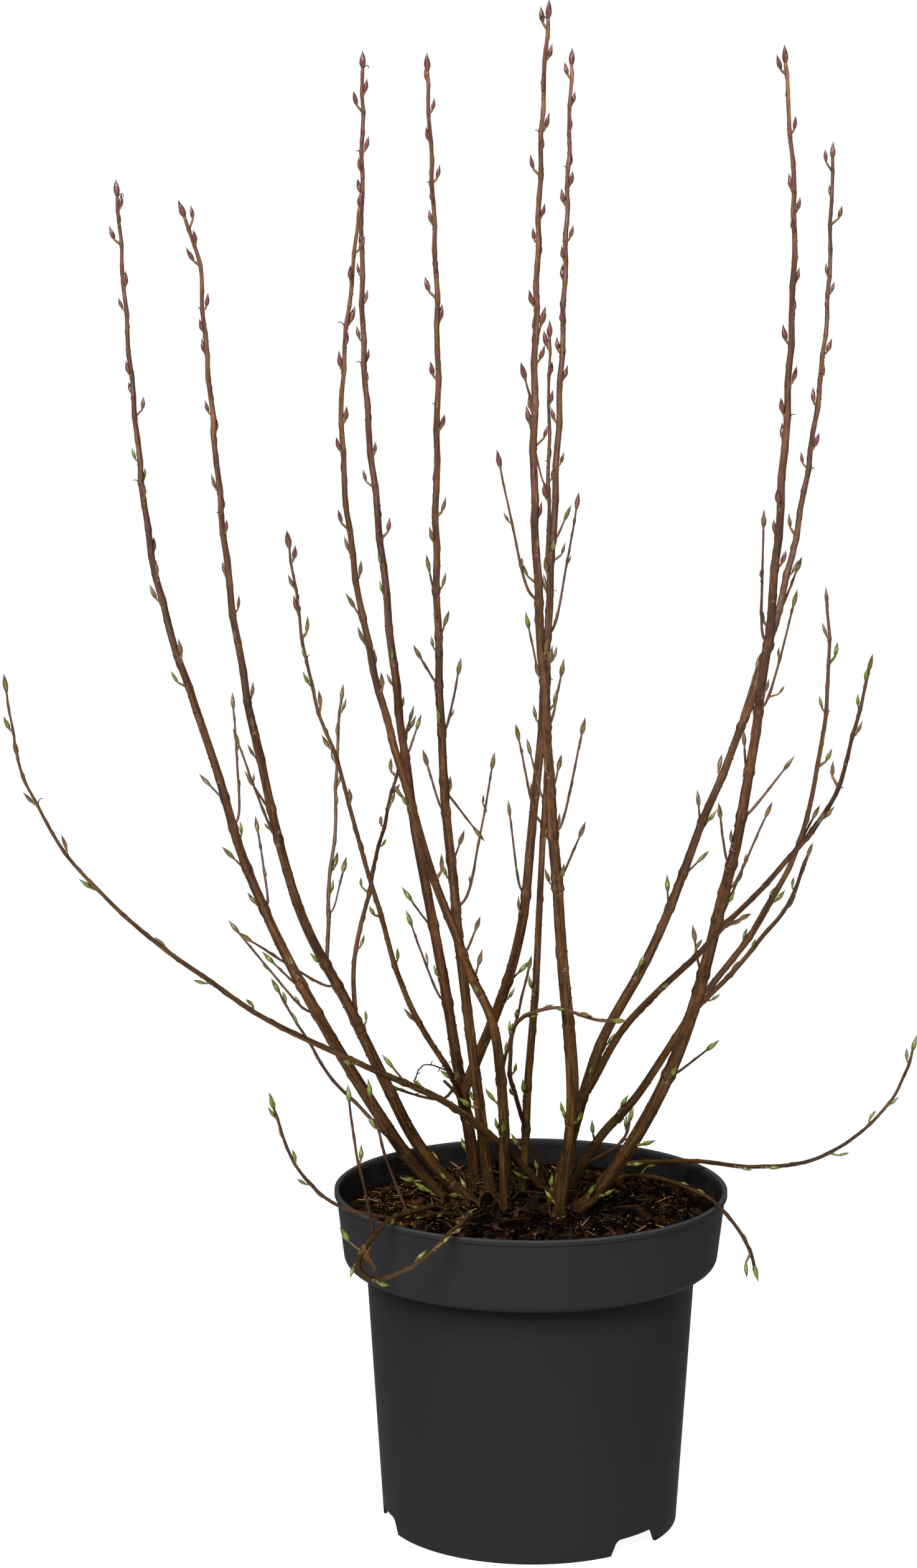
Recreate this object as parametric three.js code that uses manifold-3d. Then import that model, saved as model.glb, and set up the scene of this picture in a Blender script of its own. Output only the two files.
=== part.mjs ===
// A flowering currant at winter's end: bare canes set with swelling buds, in a round nursery pot.
// Millimetres, +Z up, +Y away from the viewer. The origin is at the centre of the pot's underside.
import * as THREE from "three";
import { mergeVertices } from "three/addons/utils/BufferGeometryUtils.js";
import Module from "manifold-3d";

// The gap kept between pieces that touch, and the smallest detail that is kept
const CLEAR = 0.3;
const FINEST = 0.04;

// The pot: a thin moulded wall with a deep collar, a turned lip and three foot sections
const POT = {
  height: 242,
  lipRadius: 140,
  lipHeight: 3.5,
  collarTop: 138.5,
  collarBottom: 133.5,
  collarHeight: 54,
  collarRound: 8,
  shoulderRadius: 117.5,
  footRadius: 105.5,
  wall: 2.5,
  floorHeight: 11.5,
  centreFoot: 24,
  draft: 1,
  sides: 36,
};
// Water gaps between the foot sections, by compass turn from +X, and the drain holes inboard of them
const FOOT_GAPS = { turns: [-46, 74, -166], width: 36, spread: 5, height: 11, depth: 22, under: 1 };
const DRAINS = { count: 6, radius: 5, ring: 76, sides: 8 };

// The compost lies a little under the lip and falls slightly from the plant to the wall
const COMPOST = { top: 228, edge: 224, flatRadius: 84 };

// The woody stool: heels where the canes leave, tied to its heart by thick roots
const STOOL = {
  heart: [-4, 14],
  rootRadius: 7,
  rootShare: 1.2,
  thinnest: 3.4,
  heel: 16,
  flare: 1.75,
  neck: 1.15,
  sides: 5,
};

// Buds: how long, how far apart along the wood, how much each of these varies, and how they stand off it
const BUD = {
  tip: 13,
  side: 10.5,
  low: 8.5,
  lowUpTo: 420,
  sizeSpread: 0.3,
  slimness: 0.165,
  belly: 0.34,
  sunk: 0.12,
  seat: 0.6,
  lean: 26,
  nearTip: 9,
  nearTipSpread: 0.4,
  tipShare: 0.8,
  gap: 32,
  lowGap: 44,
  gapSpread: 0.5,
  lowest: 0.4,
  turn: 137.5,
  turnSpread: 30,
  kink: 1,
  clear: 0.5,
  fromBase: 5,
  fromBoughEnd: 15,
};

// Side twigs: their girth at base and tip, how wide they set off, and their usual lean from the cane
const TWIG = {
  base: 1.35,
  tip: 0.85,
  share: 0.6,
  setOff: 22,
  lean: 18,
  gap: 26,
  clear: 1,
  free: 2,
  seed: 100,
};

// Wood of every size: steps of curve between two way points, how far to each side its direction is read,
// the least share of a path that is wood, and how its rings are spaced
const WOOD = { steps: 16, look: 4, least: 0.5, widest: 50, edge: 6, stretch: 8, across: [0.36, 0.93, 0] };

// Faces round the wood, and the radius above which a spray is thick
const FACES = { bough: 6, shoot: 4, spray: 4, thinSpray: 3, twig: 3, cutter: 12 };
const THICK = 2;

// What a cutter is thicker than its limb, over and above the gap
const OVERCUT = 0.15;

// Canes and shoots. path: way points from the stool to the tip. from: the limb that it forks from and
// how far along that, instead of a foot in the stool. girth: radius at the base and the tip. bough: the
// length that is limb before its spray starts. twigs: height, compass turn, length and lean of each.
const CANES = [
  {
    name: "west_outer",
    girth: [5, 1.5],
    bough: 190,
    path: [
      [-58, 10, 225], [-106, 26, 283], [-188, 62, 422], [-230, 85, 540], [-270, 103, 668],
      [-286, 115, 800], [-297, 125, 951],
    ],
    twigs: [
      [354, 190, 92, 14], [372, 150, 39, 24], [425, 40, 71, 22], [456, 200, 23, 30],
      [483, 10, 98, 17], [510, 160, 25, 32],
    ],
  },
  {
    name: "west_inner",
    girth: [4.9, 1.5],
    bough: 180,
    path: [
      [-38, 0, 225], [-82, -4, 277], [-123, -14, 366], [-166, -26, 460], [-203, -45, 640],
      [-221, -58, 835], [-225, -62, 895], [-238, -65, 937],
    ],
    twigs: [[391, 200, 83, 30], [494, 250, 93, 16], [517, 160, 31, 24]],
  },
  {
    name: "back_west",
    girth: [4.7, 1.6],
    bough: 215,
    path: [
      [-38, 44, 225], [-50, 70, 305], [-70, 102, 412], [-89, 125, 518], [-106, 148, 664],
      [-121, 164, 830], [-121, 172, 1043],
    ],
    twigs: [[352, 190, 74, 14], [411, 165, 36, 30], [491, 200, 23, 30], [531, 20, 32, 30]],
  },
  {
    name: "front_west",
    girth: [4.2, 1.5],
    bough: 200,
    path: [
      [-18, -8, 225], [-24, -30, 353], [-47, -45, 416], [-81, -62, 518], [-116, -85, 660],
      [-129, -100, 797], [-115, -115, 944],
    ],
    twigs: [[400, 0, 22, 40], [418, 340, 33, 42], [660, 200, 20, 24]],
  },
  {
    name: "middle_west",
    girth: [4.4, 1.5],
    bough: 200,
    path: [[-28, 20, 225], [-41, 22, 331], [-60, 17, 510], [-67, 8, 690], [-66, 0, 850], [-73, -12, 1035]],
    twigs: [
      [435, 10, 115, 20], [464, 330, 25, 30], [507, 170, 47, 16], [529, 10, 52, 150],
      [561, 20, 54, 18], [593, 200, 35, 32], [628, 330, 21, 25], [661, 160, 25, 14],
    ],
  },
  {
    name: "front_east",
    girth: [5.2, 1.5],
    bough: 235,
    path: [
      [19, -28, 223], [28, -42, 323], [18, -58, 447], [9, -75, 575], [-1, -95, 752],
      [2, -116, 961], [7, -125, 1065],
    ],
    twigs: [
      [464, 300, 22, 26], [474, 350, 45, 29], [503, 10, 85, 19], [535, 340, 27, 20], [580, 15, 47, 18],
      [610, 330, 27, 18], [667, 185, 108, 12], [804, 200, 29, 20], [833, 350, 22, 16],
    ],
  },
  {
    name: "back_middle",
    from: ["back_west", 73],
    girth: [4.2, 1.6],
    bough: 140,
    path: [[-12, 72, 389], [3, 87, 495], [14, 105, 646], [24, 128, 852], [30, 145, 1044]],
    twigs: [
      [371, 20, 22, 34], [435, 170, 70, 18], [591, 200, 51, 20], [618, 40, 108, 12],
      [691, 340, 28, 25],
    ],
  },
  {
    name: "middle",
    girth: [3.4, 1.1],
    bough: 180,
    path: [[-6, 27, 225], [0, 30, 328], [6, 33, 430], [11, 35, 560], [12, 36, 854]],
    twigs: [[494, 190, 75, 18], [509, 140, 46, 24], [720, 170, 60, 16]],
  },
  {
    name: "east_inner",
    girth: [5.5, 1.6],
    bough: 215,
    path: [
      [24, -14, 223], [54, -18, 252], [96, -30, 331], [125, -45, 432], [146, -60, 543],
      [162, -78, 692], [170, -98, 904], [161, -108, 1037],
    ],
    twigs: [
      [328, 340, 45, 30], [405, 160, 35, 28], [445, 20, 41, 14], [463, 350, 73, 14], [484, 200, 48, 24],
      [515, 10, 54, 32], [545, 170, 30, 16], [585, 330, 90, 10], [637, 210, 95, 10],
    ],
  },
  {
    name: "east_outer",
    girth: [4.4, 1.5],
    bough: 185,
    path: [
      [14, 8, 225], [48, 20, 335], [90, 42, 413], [129, 65, 507], [162, 85, 589], [192, 108, 695],
      [213, 126, 840], [218, 140, 978],
    ],
    twigs: [
      [433, 150, 24, 30], [459, 10, 24, 28], [495, 190, 22, 30], [560, 100, 60, 18],
      [640, 60, 45, 18],
    ],
  },
  {
    name: "front_arch",
    from: ["east_outer", 82],
    girth: [3, 1.4],
    bough: 165,
    path: [[67, -20, 365], [120, -75, 435], [164, -110, 492], [199, -135, 548], [220, -155, 643]],
    twigs: [[450, 300, 26, 24], [520, 250, 22, 22]],
  },
  {
    name: "back_arch",
    girth: [3.6, 1.4],
    bough: 160,
    path: [
      [27, 38, 225], [50, 46, 266], [81, 62, 298], [125, 85, 359], [176, 110, 424],
      [207, 130, 494], [221, 145, 587], [219, 150, 655],
    ],
    twigs: [[400, 100, 50, 22], [470, 60, 34, 22]],
  },
  {
    name: "back_arch_fork",
    from: ["back_arch", 158],
    girth: [2, 1.2],
    bough: 0,
    path: [[144, 74, 379], [164, 64, 406], [184, 52, 435], [201, 38, 484]],
    twigs: [],
  },
  {
    name: "front_sweep",
    girth: [3.2, 0.9],
    bough: 200,
    path: [
      [18, 26, 225], [-21, 0, 273], [-66, -30, 315], [-123, -70, 350], [-200, -115, 402],
      [-290, -152, 485], [-335, -167, 560], [-348, -172, 632],
    ],
    twigs: [[329, 60, 24, 50]],
  },
  {
    name: "inner_bow",
    from: ["back_west", 56],
    girth: [2.6, 1],
    bough: 150,
    path: [
      [-56, 22, 318], [-85, -10, 375], [-111, -45, 467], [-131, -75, 550], [-151, -98, 619],
      [-165, -120, 721],
    ],
    twigs: [],
  },
  {
    name: "twin_fork",
    from: ["west_inner", 214],
    girth: [1.5, 0.9],
    bough: 0,
    path: [[-143, 10, 455], [-139, 30, 502], [-138, 48, 552], [-134, 60, 595]],
    twigs: [[440, 20, 45, 14]],
  },
  {
    name: "leaning_fork",
    from: ["west_inner", 167],
    girth: [1.8, 0.9],
    bough: 0,
    path: [[-125, 16, 403], [-114, 68, 454], [-98, 146, 515], [-85, 166, 565]],
    twigs: [],
  },
  {
    name: "low_fork_west",
    from: ["west_outer", 47],
    girth: [1.5, 0.8],
    bough: 0,
    path: [[-120, 38, 288], [-149, 58, 316], [-188, 90, 374]],
    twigs: [],
  },
  {
    name: "elbow_fork",
    from: ["middle", 52],
    girth: [1.7, 1],
    bough: 0,
    path: [
      [-12, -2, 312], [-15, -18, 335], [-12, -36, 368], [13, -60, 386], [44, -80, 382],
      [63, -92, 384],
    ],
    twigs: [],
  },
  {
    name: "thin_fork",
    from: ["front_west", 102],
    girth: [1.2, 0.8],
    bough: 0,
    path: [[-15, -16, 355], [-8, -28, 381], [-1, -45, 419]],
    twigs: [],
  },
  {
    name: "knot_twig",
    from: ["back_west", 85],
    girth: [1.1, 0.8],
    bough: 0,
    path: [[-61, 44, 297], [-77, 34, 300], [-103, 18, 312]],
    twigs: [],
  },
  {
    name: "old_raceme",
    from: ["back_west", 67],
    girth: [0.9, 0.6],
    bough: 0,
    path: [[-55, 50, 311], [-66, 40, 321], [-77, 32, 324], [-82, 30, 316], [-78, 28, 306]],
    twigs: [],
  },
  {
    name: "east_low_fork",
    from: ["back_arch", 26],
    girth: [1.3, 0.8],
    bough: 0,
    path: [[57, 30, 261], [68, 30, 272], [74, 32, 293]],
    twigs: [[268, 300, 18, 30]],
  },
  {
    name: "rim_sweep_east",
    girth: [1.9, 0.9],
    bough: 120,
    path: [
      [42, 30, 225], [62, 36, 247], [116, 43, 250], [164, 52, 243], [216, 62, 249], [261, 74, 282],
      [276, 82, 308], [284, 88, 332],
    ],
    twigs: [],
  },
  {
    name: "rim_droop_east",
    girth: [1.6, 1.1],
    bough: 105,
    path: [
      [38, 16, 225], [68, 12, 247], [99, -22, 252], [125, -60, 249], [141, -80, 236],
      [151, -88, 216], [155, -90, 200],
    ],
    twigs: [],
  },
  {
    name: "rim_sweep_west",
    girth: [1.5, 0.9],
    bough: 85,
    path: [
      [-46, -14, 225], [-64, -42, 234], [-86, -70, 238], [-105, -92, 246], [-132, -102, 256],
      [-153, -108, 273], [-169, -112, 302], [-180, -114, 338],
    ],
    twigs: [],
  },
  {
    name: "rim_loop",
    girth: [1.9, 1.5],
    bough: 165,
    path: [
      [-58, -10, 225], [-70, -38, 238], [-86, -74, 244], [-97, -105, 248], [-108, -126, 243],
      [-120, -138, 226], [-109, -146, 217], [-91, -152, 224], [-72, -152, 236], [-55, -134, 248],
      [-42, -85, 248],
    ],
    twigs: [],
  },
  {
    name: "rim_riser_outer",
    from: ["rim_loop", 133],
    girth: [1.1, 0.8],
    bough: 0,
    path: [[-115, -120, 274], [-123, -112, 306], [-127, -104, 341]],
    twigs: [],
  },
  {
    name: "rim_riser_inner",
    from: ["rim_loop", 78],
    girth: [1.1, 0.8],
    bough: 0,
    path: [[-101, -72, 281], [-110, -66, 311], [-114, -62, 335]],
    twigs: [],
  },
];

const wasm = await Module();
wasm.setup();

const rad = THREE.MathUtils.degToRad;

// A closed three.js geometry as a solid that can be joined and cut
function solid(geometry) {
  geometry.deleteAttribute("normal");
  geometry.deleteAttribute("uv");
  const merged = mergeVertices(geometry, 1e-4);
  return new wasm.Manifold(
    new wasm.Mesh({
      numProp: 3,
      vertProperties: merged.attributes.position.array,
      triVerts: new Uint32Array(merged.index.array),
    }),
  );
}

// A solid as a three.js mesh with its own material
function mesh(name, made, colour, roughness) {
  const { vertProperties, triVerts } = made.simplify(FINEST).getMesh();
  const geometry = new THREE.BufferGeometry();
  geometry.setAttribute("position", new THREE.BufferAttribute(vertProperties, 3));
  geometry.setIndex(new THREE.BufferAttribute(triVerts, 1));
  geometry.computeVertexNormals();
  const material = new THREE.MeshStandardMaterial({ color: colour, roughness, metalness: 0 });
  const out = new THREE.Mesh(geometry, material);
  out.name = name;
  return out;
}

// The largest body of a cut solid, without its loose scraps
function largest(made) {
  return made.decompose().reduce((a, b) => (a.volume() > b.volume() ? a : b));
}

// A seeded run of numbers from 0 to 1
function dice(seed) {
  let state = seed * 7919 + 17;
  return () => {
    state = (state * 16807) % 2147483647;
    return state / 2147483647;
  };
}

// A factor about 1 that varies by a spread
function vary(roll, spread) {
  return 1 + spread * (roll() - 0.5);
}

// A profile of [radius, height] turned about the pot's axis
function turned(profile) {
  const points = profile.map(([r, z]) => new THREE.Vector2(r, z));
  return solid(new THREE.LatheGeometry(points, POT.sides).rotateX(Math.PI / 2));
}

const shelf = POT.height - POT.collarHeight;

// Points of the rounded corner under the collar, from the shelf outwards
function collarCorner(radius, round, bottom) {
  return [0, 1, 2].map((i) => {
    const turn = (i / 2) * (Math.PI / 2);
    return [radius - round + round * Math.sin(turn), bottom + round - round * Math.cos(turn)];
  });
}

// The inside of the pot from its lip down to its floor, moved inwards by a gap
function inside(gap) {
  const inset = POT.wall + gap;
  const floor = POT.floorHeight + POT.wall + gap;
  return [
    [POT.collarTop - inset, POT.height - POT.lipHeight],
    ...collarCorner(POT.collarBottom - inset, POT.collarRound - POT.wall, shelf + inset).reverse(),
    [POT.shoulderRadius - inset, shelf + inset],
    [POT.footRadius - inset, floor],
    [0, floor],
  ];
}

function potSolid() {
  const outside = [
    [0, 0],
    [POT.centreFoot, 0],
    [POT.centreFoot + POT.draft, POT.floorHeight],
    [POT.footRadius - POT.wall - POT.draft, POT.floorHeight],
    [POT.footRadius - POT.wall, 0],
    [POT.footRadius, 0],
    [POT.shoulderRadius, shelf],
    ...collarCorner(POT.collarBottom, POT.collarRound, shelf),
    [POT.collarTop, POT.height - POT.lipHeight],
    [POT.lipRadius, POT.height - POT.lipHeight],
    [POT.lipRadius, POT.height],
    [POT.collarTop - POT.wall + POT.draft, POT.height],
  ];
  let pot = turned([...outside, ...inside(0)]);
  const { turns, width, spread, height, depth, under } = FOOT_GAPS;
  const notch = new THREE.Shape([
    new THREE.Vector2(-width / 2 - spread, -under),
    new THREE.Vector2(width / 2 + spread, -under),
    new THREE.Vector2(width / 2, height),
    new THREE.Vector2(-width / 2, height),
  ]);
  for (const turn of turns) {
    const cut = new THREE.ExtrudeGeometry(notch, { depth, bevelEnabled: false });
    cut.rotateX(Math.PI / 2).rotateZ(Math.PI / 2).translate(POT.footRadius - depth / 2, 0, 0);
    pot = pot.subtract(solid(cut.rotateZ(rad(turn))));
  }
  for (let i = 0; i < DRAINS.count; i++) {
    const hole = new THREE.CylinderGeometry(DRAINS.radius, DRAINS.radius, 4 * POT.wall, DRAINS.sides);
    hole.rotateX(Math.PI / 2).translate(DRAINS.ring, 0, POT.floorHeight + POT.wall / 2);
    pot = pot.subtract(solid(hole.rotateZ((2 * Math.PI * (i + 0.5)) / DRAINS.count)));
  }
  return pot;
}

function compostSolid() {
  const [brim, ...walls] = inside(CLEAR);
  const upper = walls[0];
  const rise = (COMPOST.edge - upper[1]) / (brim[1] - upper[1]);
  const edge = [upper[0] + (brim[0] - upper[0]) * rise, COMPOST.edge];
  return turned([[0, COMPOST.top], [COMPOST.flatRadius, COMPOST.top], edge, ...walls].reverse());
}

// A limb along a smooth path: its length, its centre, direction and radius at any length from its
// base, and its bud places, spaced by a seeded rule from the tip down
function limb(path, [base, tip], gap, seed) {
  const points = path.map((p) => (p.isVector3 ? p : new THREE.Vector3(...p)));
  const curve = new THREE.CatmullRomCurve3(points, false, "catmullrom", 0.5);
  const steps = WOOD.steps * (points.length - 1);
  const places = Array.from({ length: steps + 1 }, (_, i) => curve.getPoint(i / steps));
  const along = [0];
  for (let i = 1; i <= steps; i++) {
    along.push(along[i - 1] + places[i].distanceTo(places[i - 1]));
  }
  const length = Math.max(along[steps] - BUD.tipShare * BUD.tip, WOOD.least * along[steps]);

  const cell = (s) => {
    const i = along.findIndex((a, n) => n > 0 && a >= Math.min(s, along[steps]));
    return { i, f: THREE.MathUtils.clamp((s - along[i - 1]) / (along[i] - along[i - 1]), 0, 1) };
  };
  const smooth = (s) => {
    const { i, f } = cell(s);
    return places[i - 1].clone().lerp(places[i], f);
  };
  const heading = (s) => {
    const reach = Math.min(WOOD.look, length / 4);
    return smooth(s + reach).sub(smooth(Math.max(s - reach, 0))).normalize();
  };
  const radius = (s) => base + (tip - base) * (s / length);
  const side = (s, turn) => {
    const forward = heading(s);
    const out = new THREE.Vector3(Math.cos(rad(turn)), Math.sin(rad(turn)), 0);
    return out.addScaledVector(forward, -out.dot(forward)).normalize();
  };

  const roll = dice(seed);
  const buds = [];
  let turn = 360 * roll();
  let s = length - BUD.nearTip * vary(roll, BUD.nearTipSpread);
  while (s > BUD.lowest * gap) {
    buds.push({ s, turn, size: vary(roll, BUD.sizeSpread), large: buds.length % 2 === 0 });
    turn += BUD.turn + BUD.turnSpread * (roll() - 0.5);
    const low = 1 - s / length;
    s -= (gap + BUD.lowGap * low * low) * vary(roll, BUD.gapSpread);
  }

  // The wood kinks a little away from each bud
  const kinks = [{ s: length, at: new THREE.Vector3() }];
  for (const bud of buds) {
    kinks.push({ s: bud.s, at: side(bud.s, bud.turn).multiplyScalar(-BUD.kink) });
  }
  kinks.push({ s: 0, at: new THREE.Vector3() });
  kinks.reverse();
  const centre = (s) => {
    const n = Math.max(1, kinks.findIndex((k, i) => i > 0 && k.s >= Math.min(s, length)));
    const [a, b] = [kinks[n - 1], kinks[n]];
    const f = THREE.MathUtils.clamp((s - a.s) / (b.s - a.s), 0, 1);
    return smooth(s).add(a.at.clone().lerp(b.at, f));
  };
  const atHeight = (z) => along[Math.max(0, places.findIndex((p) => p.z >= z))];
  return { length, heading, radius, side, centre, buds, atHeight, forks: [] };
}

// A tapering tube of flat-ended rings through the given places of a limb
function tube(wood, stations, sides, grow = 0, radiusAt = wood.radius) {
  const rings = stations.length - 1;
  const geometry = new THREE.CylinderGeometry(1, 1, 1, sides, rings);
  let across = new THREE.Vector3(...WOOD.across);
  const frames = stations.map((s) => {
    const forward = wood.heading(s);
    across = across.clone().addScaledVector(forward, -across.dot(forward)).normalize();
    const up = new THREE.Vector3().crossVectors(across, forward);
    return { at: wood.centre(s), across, up, r: radiusAt(s) + grow };
  });
  const position = geometry.attributes.position;
  for (let i = 0; i < position.count; i++) {
    const frame = frames[Math.round((position.getY(i) + 0.5) * rings)];
    const moved = frame.at.clone();
    moved.addScaledVector(frame.across, position.getX(i) * frame.r);
    moved.addScaledVector(frame.up, position.getZ(i) * frame.r);
    position.setXYZ(i, moved.x, moved.y, moved.z);
  }
  return solid(geometry);
}

// The places of a limb's rings between two lengths: its forks and large buds, and more if far apart
function stations(wood, from, to) {
  const within = (s) => s > from + WOOD.edge && s < to - WOOD.edge;
  const apart = (s) => wood.forks.every((fork) => Math.abs(s - fork) > WOOD.edge);
  const buds = wood.buds.filter(({ s, large }) => large && apart(s)).map((bud) => bud.s);
  const marks = [...wood.forks, ...buds].filter(within).sort((a, b) => a - b);
  const ends = [from, ...marks, to];
  const out = [from];
  for (let i = 1; i < ends.length; i++) {
    const run = ends[i] - ends[i - 1];
    const pieces = Math.ceil(run / WOOD.widest);
    for (let n = 1; n <= pieces; n++) out.push(ends[i - 1] + (run * n) / pieces);
  }
  return out;
}

// A pointed bud of eight faces, its base sunk in the wood
function budSolid(base, forward, length) {
  const width = BUD.slimness * length;
  const geometry = new THREE.OctahedronGeometry(1);
  const position = geometry.attributes.position;
  for (let i = 0; i < position.count; i++) {
    const [x, y, z] = [position.getX(i), position.getY(i), position.getZ(i)];
    const reach = z > 0.5 ? 1 : z < -0.5 ? -BUD.sunk : BUD.belly;
    position.setXYZ(i, x * width, y * width, reach * length);
  }
  const turn = new THREE.Quaternion().setFromUnitVectors(new THREE.Vector3(0, 0, 1), forward);
  return solid(geometry.applyQuaternion(turn).translate(base.x, base.y, base.z));
}

// Each stretch of wood already placed, as a line with a radius, its node and its limb
const placed = [];

function stretches(wood, from, to, node, owner) {
  const count = Math.max(2, Math.ceil((to - from) / WOOD.stretch));
  const mark = (i) => from + ((to - from) * i) / count;
  return Array.from({ length: count }, (_, i) => {
    const line = new THREE.Line3(wood.centre(mark(i)), wood.centre(mark(i + 1)));
    return { line, radius: wood.radius(mark(i)), node, owner };
  });
}

// Whether a candidate stretch stays clear of all wood of other nodes
function isClear(stretch, gap, carrier = stretch.owner) {
  const near = new THREE.Vector3();
  return placed.every((other) => {
    if (other.node === stretch.node || other.owner === carrier) return true;
    const reach = other.radius + stretch.radius + gap;
    return [0, 0.5, 1].every((f) => {
      const point = stretch.line.at(f, new THREE.Vector3());
      return other.line.closestPointToPoint(point, true, near).distanceTo(point) > reach;
    });
  });
}

// The limbs, with where each starts and where its bough ends
const limbs = new Map();
CANES.forEach((cane, index) => {
  const parent = cane.from && limbs.get(cane.from[0]);
  const start = parent ? [parent.wood.centre(cane.from[1])] : [];
  if (parent) parent.wood.forks.push(cane.from[1]);
  const wood = limb([...start, ...cane.path], cane.girth, BUD.gap, index + 1);
  const begin = parent ? 0 : STOOL.heel + CLEAR;
  limbs.set(cane.name, { cane, wood, parent, begin, split: cane.bough || begin });
});
for (const [name, { wood, begin, split }] of limbs) {
  if (split > begin) placed.push(...stretches(wood, begin, split, name + "_bough", name));
  placed.push(...stretches(wood, split, wood.length, name + "_spray", name));
}

// Side twigs: those above the bough's end belong to the spray, and lower ones are nodes of their own
let seed = TWIG.seed;
for (const [name, entry] of limbs) {
  entry.twigs = [];
  for (const [height, turn, length, lean = TWIG.lean] of entry.cane.twigs) {
    seed += 1;
    const { wood, split } = entry;
    const s = wood.atHeight(height);
    const [forward, out] = [wood.heading(s), wood.side(s, turn)];
    const aim = (degrees, reach) => {
      const along = wood.centre(s).addScaledVector(forward, reach * Math.cos(rad(degrees)));
      return along.addScaledVector(out, reach * Math.sin(rad(degrees)));
    };
    const bend = aim(lean + TWIG.setOff / 2, 0.5 * length);
    const girth = [Math.min(TWIG.base, TWIG.share * wood.radius(s)), TWIG.tip];
    const twig = limb([wood.centre(s), bend, aim(lean, length)], girth, TWIG.gap, seed);
    const low = s < split;
    const count = entry.twigs.filter((t) => t.low).length + 1;
    const node = low ? name + "_shoot_" + count : name + "_spray";
    const pieces = stretches(twig, wood.radius(s) + TWIG.free, twig.length, node, low ? node : name);
    if (pieces.every((piece) => isClear(piece, TWIG.clear, name))) {
      placed.push(...pieces);
      wood.forks.push(s);
      entry.twigs.push({ twig, s, low, node });
    }
  }
}

// A limb's buds between two lengths, joined to its wood; a bud that would touch other wood is left out
function withBuds(made, wood, from, to, node, owner) {
  const place = (base, forward, length) => {
    const line = new THREE.Line3(base.clone(), base.clone().addScaledVector(forward, length));
    const stretch = { line, radius: BUD.slimness * length, node, owner };
    if (!isClear(stretch, BUD.clear)) return;
    placed.push(stretch);
    made = made.add(budSolid(base, forward, length));
  };
  const ended = to === wood.length;
  if (ended) place(wood.centre(to - BUD.kink), wood.heading(to), BUD.tip);
  for (const { s, turn, size, large } of wood.buds) {
    if (!large || s < from + BUD.fromBase || (!ended && s > to - BUD.fromBoughEnd)) continue;
    const out = wood.side(s, turn);
    const forward = wood.heading(s).multiplyScalar(Math.cos(rad(BUD.lean)));
    forward.addScaledVector(out, Math.sin(rad(BUD.lean)));
    const base = wood.centre(s).addScaledVector(out, BUD.seat * wood.radius(s));
    place(base, forward.normalize(), size * (base.z > BUD.lowUpTo ? BUD.side : BUD.low));
  }
  return made;
}

// The wood of one limb, a little thicker, as it is cut out of another that forks from it
function cutter({ wood, begin, split }) {
  const low = split > begin ? stations(wood, begin, split) : [];
  return tube(wood, [...low, ...stations(wood, split, wood.length)], FACES.cutter, OVERCUT + CLEAR);
}

function boughSolid(name, entry) {
  const { wood, begin, split } = entry;
  const made = tube(wood, stations(wood, begin, split), FACES.bough);
  return withBuds(made, wood, begin, split, name + "_bough", name);
}

function spraySolid(name, entry) {
  const { wood, split, begin } = entry;
  const from = split > begin ? split + CLEAR : begin;
  const faces = wood.radius(split) > THICK ? FACES.spray : FACES.thinSpray;
  let made = tube(wood, stations(wood, from, wood.length), faces);
  for (const { twig, low } of entry.twigs) {
    if (low) continue;
    made = made.add(tube(twig, stations(twig, 0, twig.length), FACES.twig));
    made = withBuds(made, twig, 0, twig.length, name + "_spray", name);
  }
  return withBuds(made, wood, from, wood.length, name + "_spray", name);
}

// The stool: heels, and roots from the heart to each, cut flat just above the compost
function stoolSolid() {
  let made = null;
  for (const { wood, parent } of limbs.values()) {
    if (parent) continue;
    const widen = (s) => (STOOL.flare - STOOL.neck) * (1 - s / STOOL.heel) ** 2;
    const flare = (s) => wood.radius(0) * (STOOL.neck + widen(s));
    const heel = tube(wood, [0, STOOL.heel / 2, STOOL.heel], STOOL.sides, 0, flare);
    const heart = new THREE.Vector3(...STOOL.heart, COMPOST.top);
    const foot = wood.centre(STOOL.heel / 2);
    const footRadius = Math.max(STOOL.thinnest, STOOL.rootShare * wood.radius(0));
    const root = {
      heading: () => foot.clone().sub(heart).normalize(),
      centre: (s) => heart.clone().lerp(foot, s),
      radius: (s) => THREE.MathUtils.lerp(STOOL.rootRadius, footRadius, s),
    };
    const joined = heel.add(tube(root, [0, 1], STOOL.sides));
    made = made ? made.add(joined) : joined;
  }
  const across = 2 * POT.lipRadius;
  const deep = POT.collarHeight;
  const below = new THREE.BoxGeometry(across, across, deep);
  below.translate(0, 0, COMPOST.top + CLEAR - deep / 2);
  return largest(made.subtract(solid(below)));
}

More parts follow.
